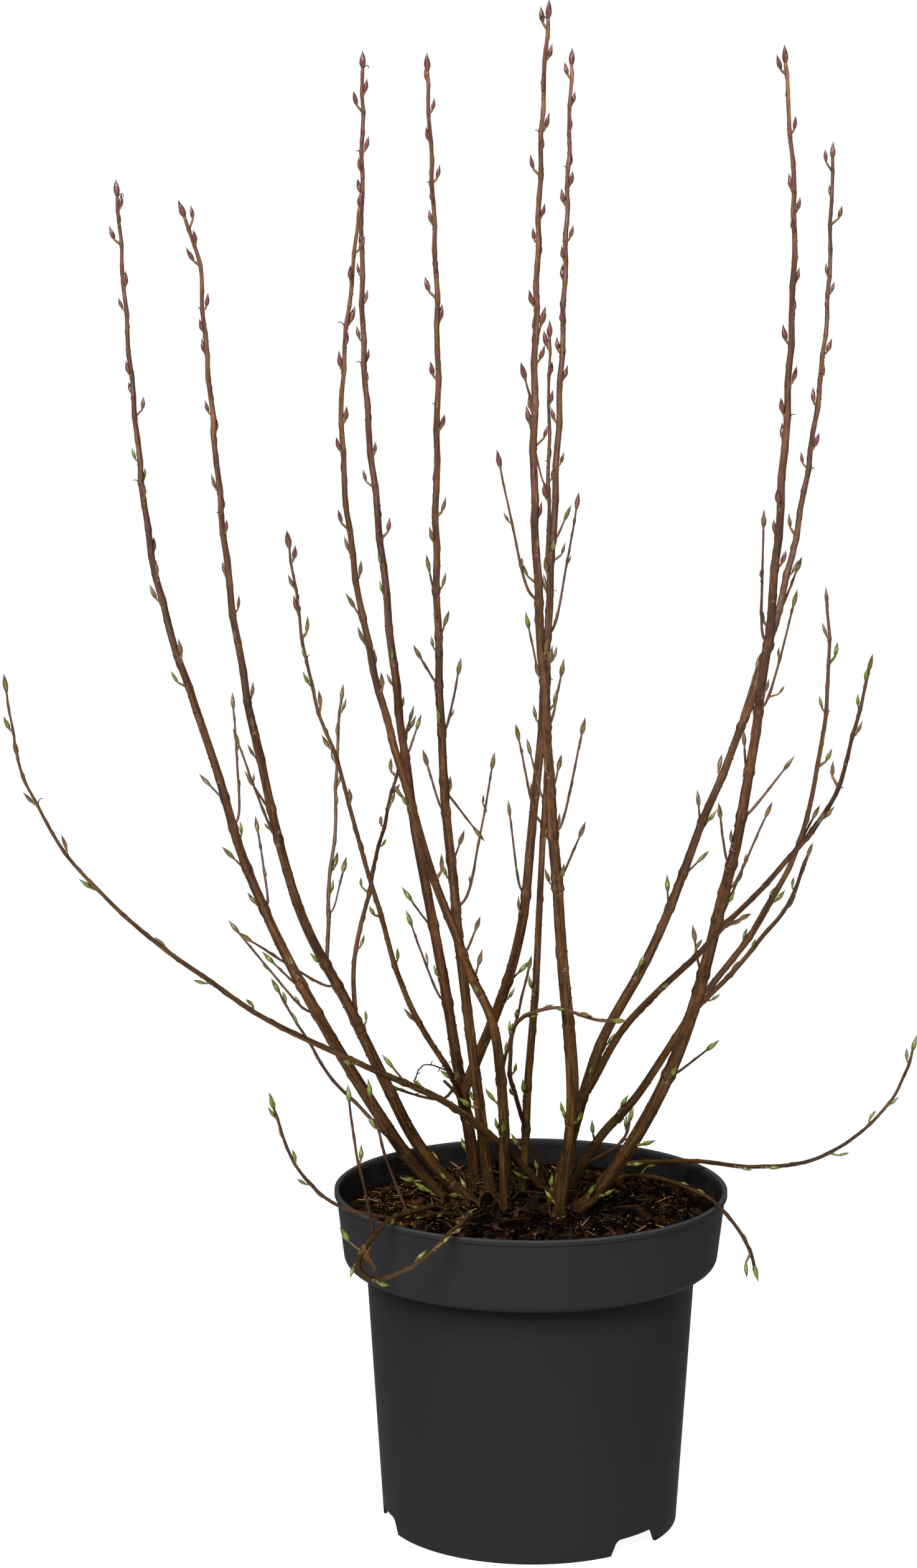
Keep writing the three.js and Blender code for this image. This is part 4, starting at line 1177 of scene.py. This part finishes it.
WARTS = [rough_lump(seed) for seed in (21, 22, 23)]
SLIVER_BENDS = (
    (0.05, 0.09, 0.02, -0.06), (0.1, 0.02, -0.1, -0.05), (0.02, 0.05, 0.12, 0.16), (0.0, -0.03, 0.02, 0.0),
)
SLIVERS = [bent_sliver(bends) for bends in SLIVER_BENDS]
PEEL_GAP, WART_SPACING, WART_SHAPE = 14, 3.2, (1.1, 0.7, 0.5)
FRAYED_FROM, FRAYED_TO, FRAYED_LEAST, FRAYED_FOR_MM = 1, 14, 4, 2.6
FRAYED_SIZES, PEEL_SIZES, PEEL_THICK = ((2, 6.5), (7, 16), (4, 9)), ((1.5, 4.5), (5, 11)), 3
frayed = np.random.default_rng(11)


def aimed(shape, size, place, way):
    """A copy of a shape, stretched to a size in mm, with its length turned to run a given way."""
    points, faces = shape
    turn = np.array(Vector(way).to_track_quat("X", "Z").to_matrix())
    spin = np.array(Euler((frayed.uniform(0, TURN), 0, 0)).to_matrix())
    own = points * size
    return own @ spin.T @ turn.T + place, faces, own + frayed.uniform(-50, 50, 3)


fibre_blocks, peel_blocks, wart_blocks = [], [], []
for entry in limbs.values():
    wood = entry["wood"]
    if not entry["fork"]:
        for _ in range(int(FRAYED_LEAST + FRAYED_FOR_MM * wood.base)):
            s, turn = frayed.uniform(FRAYED_FROM, FRAYED_TO), frayed.uniform(0, 360)
            out = wood.side(s, turn)
            way = unit(0.7 * wood.heading(s) + out * frayed.uniform(0.1, 1.2) + frayed.normal(0, 0.35, 3))
            size = [frayed.uniform(*limits) for limits in FRAYED_SIZES]
            shape = SLIVERS[frayed.integers(3)]
            place = wood.centre(s) + out * 1.1 * wood.radius(s) + way * size[0] * 0.6
            fibre_blocks.append(aimed(shape, size, place, way))
    if entry["stout"]:
        for _ in range(int(entry["split"] / PEEL_GAP)):
            s, turn = frayed.uniform(HEEL, entry["split"]), frayed.uniform(0, 360)
            out = wood.side(s, turn)
            way = unit(wood.heading(s) + out * frayed.uniform(-0.02, 0.08) + frayed.normal(0, 0.03, 3))
            size = [*(frayed.uniform(*limits) for limits in PEEL_SIZES), PEEL_THICK]
            peel_blocks.append(aimed(SLIVERS[3], size, wood.centre(s) + out * (wood.radius(s) + 0.05), way))
        for _ in range(int(wood.length / WART_SPACING)):
            s, turn = wood.length * frayed.uniform(0.01, 0.97) ** 1.3, frayed.uniform(0, 360)
            out = wood.side(s, turn)
            size = np.array(WART_SHAPE) * frayed.uniform(0.3, 0.9) * (1.1 - 0.5 * s / wood.length)
            shape = WARTS[len(wart_blocks) % len(WARTS)]
            place = wood.centre(s) + out * wood.radius(s)
            wart_blocks.append(aimed(shape, size, place, wood.heading(s)))
frayed_bits = {
    "crown_fibres": (fibre_blocks, [(0.3, (0.014, 0.0065, 0.002)), (0.7, (0.070, 0.033, 0.011))]),
    "bark_peelings": (peel_blocks, [(0.3, (0.050, 0.027, 0.012)), (0.7, (0.150, 0.090, 0.042))]),
    "bark_warts": (wart_blocks, [(0.35, (0.024, 0.012, 0.005)), (0.7, (0.105, 0.056, 0.026))]),
}
for name, (blocks, stops) in frayed_bits.items():
    joined(name, blocks, grained(name, stops, 0.85, (0.3, 1, 1)))


# Loose bits lie on the compost and between the canes: clods and crumbs of peat, torn bark, springy wood
# fibres, dark rootlets and pale grains. Each kind is a few small shapes, turned, stretched and dropped.
litter = np.random.default_rng(7)
DROP_FROM = 13


def dropped(shape, size, lean, raised, sector):
    """A copy of a shape, stretched to a size in mm, tipped by up to lean degrees and laid on the compost."""
    points, faces = shape
    tip = [math.radians(litter.uniform(-lean, lean)) for _ in range(2)]
    turn = Euler((*tip, litter.uniform(0, TURN))).to_matrix()
    own = points * size
    nearest, furthest, first, last = sector
    reach = math.sqrt(litter.uniform(nearest ** 2, furthest ** 2))
    around = math.radians(litter.uniform(first, last))
    above = Vector((reach * math.cos(around), reach * math.sin(around), COMPOST_TOP + DROP_FROM)) * MM
    hits = [ground.ray_cast(above, Vector((0, 0, -1))) for ground in (compost, stool)]
    place = max((np.array(spot) / MM for hit, spot, _, _ in hits if hit), key=lambda spot: spot[2])
    return own @ np.array(turn).T + place + (0, 0, raised), faces, own + litter.uniform(-50, 50, 3)


def scattered(shapes, count, smallest, largest, lean, raised, sector=(0, 118, 0, 360)):
    """Many copies of a few shapes, each of a size between the smallest and the largest."""
    made = []
    for i in range(count):
        size = np.array(smallest) + (np.array(largest) - smallest) * litter.uniform() ** 2
        made.append(dropped(shapes[i % len(shapes)], size, lean, raised, sector))
    return made


crumbs = [rough_lump(seed) for seed in range(4)]
chips = [rough_lump(seed, cuts=2, box=True) for seed in range(4, 8)]
fibre_sizes = ((1.5, 3.2, 3.2), (12, 9.5, 9))
loose_bits = {
    "peat_clods": (
        scattered(crumbs, 620, (2.0, 1.7, 1.2), (6.5, 4.6, 2.8), 60, 0.6),
        peat("peat_clod", (0.0006, 0.0003, 0.0001), (0.0042, 0.0018, 0.0005), (0.150, 0.062, 0.017)),
    ),
    "peat_crumbs": (
        scattered(crumbs, 2400, (0.5, 0.45, 0.35), (2.4, 1.9, 1.5), 90, 0.9),
        peat("peat_crumb", (0.0008, 0.0004, 0.0001), (0.0060, 0.0026, 0.0008), (0.180, 0.080, 0.023)),
    ),
    "bark_chips": (
        scattered(chips, 60, (2.0, 1.3, 0.5), (6, 3.2, 0.9), 40, 1.0)
        + scattered(chips, 8, (4, 2.6, 0.5), (9, 5, 0.6), 14, 1.6, (98, 117, 235, 285)),
        grained("torn_bark", [(0.3, (0.010, 0.0036, 0.0014)), (0.7, (0.078, 0.028, 0.011))], 0.85, (1, 4, 1)),
    ),
    "wood_fibres": (
        scattered(SLIVERS[:3], 170, *fibre_sizes, 30, 1.0)
        + scattered(SLIVERS[:3], 250, *fibre_sizes, 30, 1.0, (50, 119, 95, 215)),
        grained(
            "wood_fibre", [(0.40, (0.030, 0.013, 0.004)), (0.72, (0.42, 0.21, 0.075))], 0.8, (0.2, 0.5, 0.5),
        ),
    ),
    "dark_rootlets": (
        scattered(SLIVERS, 110, (9, 9, 9), (22, 12, 12), 12, 1.4),
        grained("rootlet", [(0.3, (0.008, 0.004, 0.002)), (0.7, (0.032, 0.015, 0.007))], 0.85, (0.3, 1, 1)),
    ),
    "pale_grains": (
        scattered(crumbs, 40, (0.4, 0.4, 0.4), (0.95, 0.8, 0.8), 90, 1.1),
        grained("pale_grain", [(0.3, (0.36, 0.31, 0.25)), (0.7, (0.60, 0.56, 0.48))], 0.7),
    ),
}
for name, (blocks, material) in loose_bits.items():
    joined(name, blocks, material)


# Buds stand at most nodes on a short bent stalk, and one ends each shoot. A bud is a pointed spindle
# wrapped in a few scales: shut and maroon near the tips, opening and olive lower down, green by the pot.
BUD_CLEAR, FROM_BASE = 0.5, 5
SPINDLE = ((-0.08, 0.34), (0.02, 0.46), (0.16, 0.82), (0.33, 1.0), (0.52, 0.86), (0.72, 0.50), (0.90, 0.17))
SCALES = ((0.02, 0.60, 0), (0.03, 0.74, 170), (0.12, 0.90, 75), (0.16, 0.96, 255))
SCALE_WIDTH, SCALE_STAND = 80, 0.08
SCALE_OUTLINE = ((0, 0.25, 0.5, 0.75, 1), (0.62, 1.0, 0.92, 0.60, 0.05))
SLIMNESS = {"maroon": 0.150, "olive": 0.118, "green": 0.132}
LENGTHEN = {"maroon": 1.0, "olive": 1.10, "green": 1.12}
GREEN_SIDE_SHARE, GREEN_TIP_SHARE, BARE_SHARE = 0.30, 0.03, 0.34
LONG_STALK_SHARE, LONG_STALK, STALKED_FROM = 0.22, 6, 7
SHORT_STALK, STALK_REACH, STALK_SPREAD, LEAN_SPREAD = 0.5, 1.0, 1.6, 10
BARE_NODE_EVERY, PAST_BOX = 4, 0.001
MAROON_FROM, OLIVE_FROM, BAND_BLUR = 715, 425, 150
BUD_LEAN, STALK_LEAN, STALK_SEAT, TIP_BEND = 15, 50, 0.6, 0.09
TWIG_BUD, TWIG_BUD_FREE = 0.62, 15
BODY_SIDES, BODY_SHARE, SCALE_RIM_SUNK, SCALE_FLARE = 7, 0.5, 0.12, 0.05
SCAR_SIDES, SCAR_LAYERS = 8, ((-0.8, 1), (0.20, 1), (0.38, 0.5))
SCAR_BELOW, TWIG_SCAR_BELOW = 1.6, 2.2
SCAR_LINE_REACH, SCAR_LINE_FROM, SCAR_LINE_STEPS, SCAR_LINE_THICK = 48, 2.0, 3, 0.24
VEIN_SCALE, VEIN_STRETCH, BUD_DULL, BUD_GLOSS = 1800, 0.12, 0.27, 0.55


def spindle_radius(t):
    return np.interp(t, [row[0] for row in SPINDLE] + [1.0], [row[1] for row in SPINDLE] + [0.02])


def spindle():
    """A bud's body, one long and one across at its widest, about its own upright axis."""
    deselect_all()
    first, width = SPINDLE[0]
    bpy.ops.mesh.primitive_circle_add(vertices=BODY_SIDES, radius=width, fill_type="NGON")
    edit_all()
    bpy.ops.transform.translate(value=(0, 0, first))
    for height, wide in SPINDLE[1:]:
        bpy.ops.mesh.extrude_region_move(TRANSFORM_OT_translate={"value": (0, 0, height - first)})
        bpy.ops.transform.resize(value=(wide / width, wide / width, 1), center_override=(0, 0, 0))
        first, width = height, wide
    bpy.ops.mesh.extrude_region_move(TRANSFORM_OT_translate={"value": (0, 0, 1 - first)})
    bpy.ops.mesh.merge(type="CENTER")
    bpy.ops.mesh.select_all(action="SELECT")
    bpy.ops.mesh.normals_make_consistent(inside=False)
    bpy.ops.object.mode_set(mode="OBJECT")
    points, faces = taken_apart(bpy.context.object)
    return points, faces, np.zeros(len(points))


def bud_scale(low, high, around):
    """One scale: a pointed patch that stands off the spindle, closed by an edge sunk into it."""
    rows, columns = 5, 5
    points, faces, edges = [], [], []
    for i in range(rows):
        share = i / (rows - 1)
        t = low + (high - low) * share
        half = SCALE_WIDTH * np.interp(share, *SCALE_OUTLINE)
        for j in range(columns):
            across = 2 * j / (columns - 1) - 1
            turn = math.radians(around + across * half)
            sunk = abs(across) == 1 or i in (0, rows - 1)
            radius = spindle_radius(t) + (-SCALE_RIM_SUNK if sunk else SCALE_STAND + SCALE_FLARE * share)
            points.append((radius * math.cos(turn), radius * math.sin(turn), t))
            edges.append(max(abs(across), share if i == rows - 1 else 0))
    for i in range(rows - 1):
        for j in range(columns - 1):
            corner = i * columns + j
            faces.append([corner, corner + 1, corner + columns + 1, corner + columns])
    rim = list(range(columns))
    rim += [(i + 1) * columns - 1 for i in range(1, rows)]
    rim += [(rows - 1) * columns + j for j in range(columns - 2, -1, -1)]
    rim += [i * columns for i in range(rows - 2, 0, -1)]
    faces.append(rim[::-1])
    return np.array(points), faces, np.array(edges)


bud_body = spindle()
bud_scales = wrapped([bud_scale(*row) for row in SCALES])
bud_blocks = {(part, shade): [] for part in ("body", "scale") for shade in ("maroon", "olive", "green")}
stalks, scars, scar_lines = {"high": [], "low": []}, [], []
bud_roll = dice(77)


def set_bud(base, forward, out, length, bend, shade):
    """Places a bud's body and scales: its axis bends back toward the cane by a share of its length."""
    across = unit(np.cross(forward, out))
    lift = np.cross(across, forward)
    spin = TURN * next(bud_roll)
    slim = SLIMNESS[shade] * length * (0.92 + 0.22 * next(bud_roll))
    turn = np.array([[math.cos(spin), -math.sin(spin)], [math.sin(spin), math.cos(spin)]])
    for part, (points, faces, edges) in (("body", bud_body), ("scale", bud_scales)):
        flat = points[:, :2] @ turn.T * slim
        t = points[:, 2]
        away = flat[:, 0] - bend * length * np.clip(t, 0, 1) ** 2
        moved = base + away[:, None] * lift + flat[:, 1:] * across + (t * length)[:, None] * forward
        own = np.stack([edges, flat[:, 1] + base[0], t * 10], 1)
        bud_blocks[part, shade].append((moved, faces, own))


def shade_at(z, early):
    """Which colour a bud at a height has: near a border either, and some between are green already."""
    z += BAND_BLUR * (next(bud_roll) - 0.5)
    is_early = next(bud_roll) < early
    return "maroon" if z > MAROON_FROM else "olive" if z > OLIVE_FROM and not is_early else "green"


def scar(wood, s, turn):
    """A leaf scar: a low shield-shaped pad, and under it a pale line a quarter of the way round the cane."""
    out, forward, radius = wood.side(s, turn), wood.heading(s), wood.radius(s)
    centre, sideways = wood.centre(s), np.cross(forward, out)
    wide, tall = min(1.9, 0.5 * radius + 0.4), min(1.6, 0.3 * radius + 0.5)
    points = []
    for rise, size in SCAR_LAYERS:
        for i in range(SCAR_SIDES):
            around = TURN * i / SCAR_SIDES
            taper = 0.72 - 0.28 * math.sin(around)
            flat = sideways * math.cos(around) * size * wide * taper
            flat += forward * math.sin(around) * size * tall
            points.append(centre + out * (radius + rise) + flat)
    faces = []
    for low in range(0, len(points) - SCAR_SIDES, SCAR_SIDES):
        for i in range(SCAR_SIDES):
            beside = (i + 1) % SCAR_SIDES
            faces.append([low + i, low + beside, low + SCAR_SIDES + beside, low + SCAR_SIDES + i])
    faces += [list(range(SCAR_SIDES))[::-1], list(range(len(points) - SCAR_SIDES, len(points)))]
    points = np.array(points)
    scars.append((points, faces, points - points[0]))
    line = []
    for i in range(2 * SCAR_LINE_STEPS + 1):
        swing = math.radians(SCAR_LINE_REACH * (i / SCAR_LINE_STEPS - 1))
        around = out * math.cos(swing) + sideways * math.sin(swing)
        below = tall * 0.9 - 0.8 * (1 - math.cos(swing))
        line.append(centre + around * (radius + SCAR_LINE_THICK / 2) - forward * below)
    if radius > SCAR_LINE_FROM:
        scar_lines.append(stick(line, SCAR_LINE_THICK, SCAR_LINE_THICK, 5))


def is_free(base, forward, length, node, owner):
    """Whether a bud stays inside the crown and clear of the wood of other limbs; if so its place is noted."""
    tip = (base + forward * length) * MM
    if np.any(tip < np.array(cad_box[0]) - PAST_BOX) or np.any(tip > np.array(cad_box[1]) + PAST_BOX):
        return False
    row = (*base, *(base + forward * length), SLIMNESS["maroon"] * length)
    if not is_clear([row], BUD_CLEAR, node, owner):
        return False
    lay([row], node, owner)
    return True


def leaned(forward, out, degrees):
    return unit(forward * math.cos(math.radians(degrees)) + out * math.sin(math.radians(degrees)))


def stalked_bud(wood, s, turn, length, lean, reach, shade, node, owner):
    """A side bud on its bent stalk, if there is room for it."""
    out, ahead, radius = wood.side(s, turn), wood.heading(s), wood.radius(s)
    forward = leaned(ahead, out, lean)
    root = wood.centre(s) + out * STALK_SEAT * radius
    elbow = root + leaned(ahead, out, STALK_LEAN) * (0.5 * radius + reach)
    base = elbow + forward * 0.5
    if not is_free(base, forward, length, node, owner):
        return False
    thick = 0.09 * length
    points = [root, (root + elbow) / 2, elbow, base + forward * 0.3]
    stalk = stick(points, 1.15 * thick, 0.72 * thick, 6, 0.05, 0, 1 + int(s))
    stalks["low" if shade == "green" else "high"].append(stalk)
    set_bud(base, forward, out, length, TIP_BEND, shade)
    return True


def budded(wood, start, node, owner, is_twig):
    """Sets the buds and leaf scars of a limb from a length up to its tip; some nodes stay bare."""
    end = wood.length
    base, forward = wood.centre(end - KINK), wood.heading(end)
    shade = shade_at(base[2], GREEN_TIP_SHARE)
    if is_free(base, forward, BUD_TIP, node, owner):
        set_bud(base, forward, wood.side(end, 360 * next(bud_roll)), BUD_TIP, 0, shade)
    for i, bud in enumerate(wood.buds, 1):
        s, turn = bud["s"], bud["turn"]
        if s < start + FROM_BASE or (is_twig and s > end - TWIG_BUD_FREE):
            continue
        if i % BARE_NODE_EVERY == 0 and wood.base > THIN_BELOW:
            scar(wood, s - SCAR_BELOW, turn)
            continue
        shade = shade_at(wood.centre(s)[2], 0 if is_twig else GREEN_SIDE_SHARE)
        if shade == "green" and wood.base < THIN_BELOW and next(bud_roll) < BARE_SHARE:
            continue
        length = bud["size"] * (BUD_SIDE if shade != "green" else BUD_LOW) * LENGTHEN[shade]
        if is_twig:
            length *= TWIG_BUD
        reach = STALK_REACH + STALK_SPREAD * next(bud_roll) if length > STALKED_FROM else SHORT_STALK
        if length > STALKED_FROM and next(bud_roll) < LONG_STALK_SHARE:
            reach += LONG_STALK * next(bud_roll)
        lean = BUD_LEAN + LEAN_SPREAD * next(bud_roll)
        if stalked_bud(wood, s, turn, length, lean, reach, shade, node, owner) and not is_twig:
            scar(wood, s - SCAR_BELOW, turn)


for name, entry in limbs.items():
    if name == DRIED:
        continue
    budded(entry["wood"], entry["begin"], name + "_spray", name, False)
    for twig in entry["twigs"]:
        owner = twig["node"] if twig["low"] else name
        budded(twig["wood"], 0, twig["node"], owner, True)
        scar(entry["wood"], twig["s"] - TWIG_SCAR_BELOW, twig["turn"])


# Fresh shoots also break from the heels, and one stands on a longer stalk at the knot of the rim's loop.
FOOT_SHOOTS, FOOT_FROM, FOOT_TO = 3, 12, 84
# Least and spread of a fresh shoot's length, its lean and the reach of its stalk.
SHOOT_LENGTH, SHOOT_LEAN, SHOOT_REACH = (9, 5), (22, 40), (1, 3)
KNOT_AT, KNOT_STALK, KNOT_BUD_WAY, KNOT_BUD = 146, (-9.3, -1, 7.2), (-6.8, -0.5, 10.6), 12.6
for name, entry in limbs.items():
    wood = entry["wood"]
    if entry["fork"] or not entry["stout"]:
        continue
    for _ in range(FOOT_SHOOTS):
        s, turn = FOOT_FROM + (FOOT_TO - FOOT_FROM) * next(bud_roll) ** 1.5, 360 * next(bud_roll)
        length, lean, reach = (
            least + spread * next(bud_roll) for least, spread in (SHOOT_LENGTH, SHOOT_LEAN, SHOOT_REACH)
        )
        stalked_bud(wood, s, turn, length, lean, reach, "green", name + "_bough", name)
knot = limbs["rim_loop"]["wood"].centre(KNOT_AT)
stalks["low"].append(stick(between(knot, knot + KNOT_STALK, -0.8, 6), 0.75, 0.6, 6))
set_bud(knot + KNOT_STALK, unit(np.array(KNOT_BUD_WAY)), np.array([1.0, 0, 0]), KNOT_BUD, 0, "green")


def bud_skin(name, foot, middle, tip, rim):
    """A bud's skin: a yellowish foot, its own colour, a dark tip, veins and browned edges."""
    material, node = new_material(name)
    own = grain_place(node)

    def scaled(axis, factor):
        inputs = {0: along_axis(node, own, axis), 1: factor}
        return node("ShaderNodeMath", inputs, operation="MULTIPLY").outputs["Value"]

    share, off = scaled("Z", 0.1 / MM), scaled("X", 1 / MM)
    base = ramp(node, share, [(0.05, foot), (0.32, middle), (0.72, middle), (0.97, tip)])
    veins = noise(node, stretched(node, own, (1, 1, VEIN_STRETCH)), VEIN_SCALE, 3)
    base = times(node, base, ramp(node, veins, [(0.3, 0.55), (0.7, 1.35)]))
    base = mix(node, ramp(node, off, [(0.36, 0), (0.85, 0.92)]), base, (*rim, 1))
    return painted(material, base, BUD_DULL, BUD_GLOSS)


# Foot, middle, tip and edge of each skin; the body shows between its scales and is darker.
bud_skins = {
    "maroon": ((0.250, 0.130, 0.040), (0.160, 0.048, 0.034), (0.030, 0.008, 0.006), (0.018, 0.005, 0.004)),
    "olive": ((0.170, 0.138, 0.023), (0.148, 0.092, 0.028), (0.026, 0.012, 0.006), (0.024, 0.012, 0.005)),
    "green": ((0.092, 0.098, 0.011), (0.141, 0.162, 0.016), (0.054, 0.050, 0.008), (0.030, 0.030, 0.005)),
}
for (part, shade), blocks in bud_blocks.items():
    name = f"{shade}_bud_{'bodies' if part == 'body' else 'scales'}"
    tones = bud_skins[shade] if part == "scale" else [dimmed(tone, BODY_SHARE) for tone in bud_skins[shade]]
    joined(name, blocks, bud_skin(name, *tones))
small_wood = {
    "high_bud_stalks": (stalks["high"], [(0.3, (0.120, 0.062, 0.026)), (0.7, (0.230, 0.130, 0.055))]),
    "low_bud_stalks": (stalks["low"], [(0.3, (0.085, 0.062, 0.020)), (0.7, (0.150, 0.125, 0.035))]),
    "leaf_scars": (scars, [(0.3, (0.090, 0.045, 0.026)), (0.7, (0.170, 0.092, 0.060))]),
    "scar_lines": (scar_lines, [(0.3, (0.110, 0.064, 0.042)), (0.7, (0.210, 0.135, 0.095))]),
}
for name, (blocks, stops) in small_wood.items():
    joined(name, blocks, grained(name, stops, 0.6))


# Dry odds and ends are nearly black: last year's raceme with its stalks, a cut stub, the torn end
# and knot where the loop at the rim was broken, and small withered hooks at the nodes and tips.
HOOKED = (("front_east", -1), ("west_outer", 1), ("back_west", 1))
HOOK = ((0, 0), (1.8, 2.0), (3.4, 2.8), (4.5, 1.9), (4.7, 0.5))
WITHERED, WITHERED_BUDS = ((0, 0), (0.3, 0.35), (0.7, 0.5), (1, 0.3)), slice(4, -1, 9)
DRY_SHARES = (0.35, 0.5, 0.62, 0.75, 0.86, 0.97)
DRY_WAYS = ((-1.8, 2.6), (0.6, 3.0), (-1.2, -3.2), (1.0, 2.8), (-2.2, -2.4), (2.8, 1.0))
KNOB = ((0, -1.3), (-1, -0.5), (1, 0.5), (0, 1.3))
# Each knob of the knot: its place from the knot's middle, and its size.
KNOBS = (
    (0, 0, 0, 3.1), (-1.6, -0.8, -3.0, 2.7), (2.0, -1.2, -1.6, 2.5),
    (0.6, -1.4, 2.6, 2.3), (3.2, -1.0, -4.6, 2.0),
)
dry_blocks, torn_blocks = [], []
raceme = limbs[DRIED]["wood"]
dry_blocks.append(stick(raceme.centre(np.linspace(0, raceme.length, 14)), 0.85, 0.45, 6, 0.12))
chain = [raceme.centre(raceme.length)]
for along, rise in ((-1.5, -3.4), (2.6, -2.8), (1.2, -3.6), (-0.8, -3.0)):
    chain.append(chain[-1] + (along, 0.4, rise))
dry_blocks.append(stick(chain, 0.5, 0.32, 5, 0.15))
for share, (along, rise) in zip(DRY_SHARES, DRY_WAYS):
    start = raceme.centre(share * raceme.length)
    dry_blocks.append(stick([start, start + (along, 0.8, rise)], 0.36, 0.26, 5))
for point, along in zip(chain[1:], (3.2, -2.6, 3.0, -2.2)):
    dry_blocks.append(stick([point, point + (along, 0.5, 0.6)], 0.34, 0.24, 5))

stub_foot = limbs["inner_bow"]["wood"].centre(27)
stub_top = stub_foot + (-12, -3, 14)
torn_blocks.append(stick(between(stub_foot, stub_top, 0.6, 6), 1.25, 1.05, 7, 0.1, 1, 90))

for step, (along, deep, rise, size) in enumerate(KNOBS):
    place = knot + (along, deep, rise)
    lump = [place + (0.3 * side, 0, height * size) for side, height in KNOB]
    torn_blocks.append(stick(lump, 0.75 * size, 0.7 * size, 8, 0.22, 0, 60 + step))
torn_from, torn_to = knot + (2, -2, -3), knot + (8, -4, -11)
torn_blocks.append(stick(between(torn_from, torn_to, 1.2, 6), 2.0, 1.4, 8, 0.16, 5, 70))
for step in range(5):
    splay = np.array([0.9 * step - 1.8, 0.5 * (step % 2), -1.6 - 0.8 * (step % 3)])
    torn_blocks.append(stick(between(torn_to, torn_to + splay, 0.5, 4), 0.5, 0.2, 5, 0.1, 0, 80 + step))

for name, way in HOOKED:
    wood = limbs[name]["wood"]
    start = wood.centre(wood.length - 1.5)
    hook = [start + (way * along, -0.6, rise) for along, rise in HOOK]
    dry_blocks.append(stick(hook, 0.42, 0.25, 5, 0.1))
withered = dice(311)
for name, entry in limbs.items():
    wood = entry["wood"]
    if name == DRIED or not entry["stout"]:
        continue
    for bud in wood.buds[WITHERED_BUDS]:
        out, ahead = wood.side(bud["s"], bud["turn"] + 150), wood.heading(bud["s"])
        start = wood.centre(bud["s"]) + out * 0.8 * wood.radius(bud["s"])
        reach = 2 + 2.5 * next(withered)
        bend = [start + (out * away + ahead * up) * reach for away, up in WITHERED]
        dry_blocks.append(stick(bend, 0.4, 0.2, 5, 0.1))
dry_bits = {
    "dry_stalks": (dry_blocks, [(0.3, (0.007, 0.004, 0.003)), (0.7, (0.030, 0.016, 0.010))]),
    "torn_knot": (torn_blocks, [(0.3, (0.022, 0.010, 0.004)), (0.7, (0.105, 0.050, 0.020))]),
}
for name, (blocks, stops) in dry_bits.items():
    joined(name, blocks, grained(name, stops, 0.85, (1, 1, 0.3), 600))


# The studio: a white table that glows, so that it takes no shadow, before an evenly lit white
# backdrop, soft light from all around, weaker from behind, and one soft lamp high before the plant.
FLOOR_REACH, FLOOR_SHADE, FLOOR_GLOW = 0.7, 0.3, 0.92
FRONT_LIGHT, BACK_LIGHT, BACKDROP = 0.80, 0.18, 1.0
SIDE_FROM = 0.1
LAMP_FROM, LAMP_POWER, LAMP_SPREAD = (-0.8, -2.7, 2.2), 4.5, 24

bpy.ops.mesh.primitive_circle_add(vertices=96, radius=FLOOR_REACH, fill_type="NGON")
floor = bpy.context.object
floor.name = "studio_floor"
floor_paint, _ = new_material("pale_floor")
feed(floor_paint.node_tree, floor_paint.node_tree.nodes["Principled BSDF"].inputs, {
    "Base Color": (FLOOR_SHADE, FLOOR_SHADE, FLOOR_SHADE, 1),
    "Emission Color": (1, 1, 1, 1),
    "Emission Strength": FLOOR_GLOW,
    "Roughness": 1,
    "Specular IOR Level": 0,
})
floor.data.materials.append(floor_paint)

studio = bpy.data.worlds.new("studio")
studio.use_nodes = True
node = node_maker(studio.node_tree)
toward = along_axis(node, node("ShaderNodeTexCoord").outputs["Generated"], "Y")
light = ranged(node, toward, -1, SIDE_FROM, FRONT_LIGHT, BACK_LIGHT)
seen = node("ShaderNodeLightPath").outputs["Is Camera Ray"]
strength = node("ShaderNodeMix", {"Factor": seen, "A": light, "B": BACKDROP}).outputs["Result"]
background = studio.node_tree.nodes["Background"]
feed(studio.node_tree, background.inputs, {"Color": (1, 1, 1, 1), "Strength": strength})
bpy.context.scene.world = studio
bpy.context.scene.view_settings.view_transform = "Standard"

bpy.ops.object.light_add(type="SUN", location=LAMP_FROM)
lamp = bpy.context.object
lamp.name = "soft_lamp"
lamp.data.energy = LAMP_POWER
lamp.data.angle = math.radians(LAMP_SPREAD)
lamp.rotation_euler = (-Vector(LAMP_FROM)).to_track_quat("-Z", "Y").to_euler()
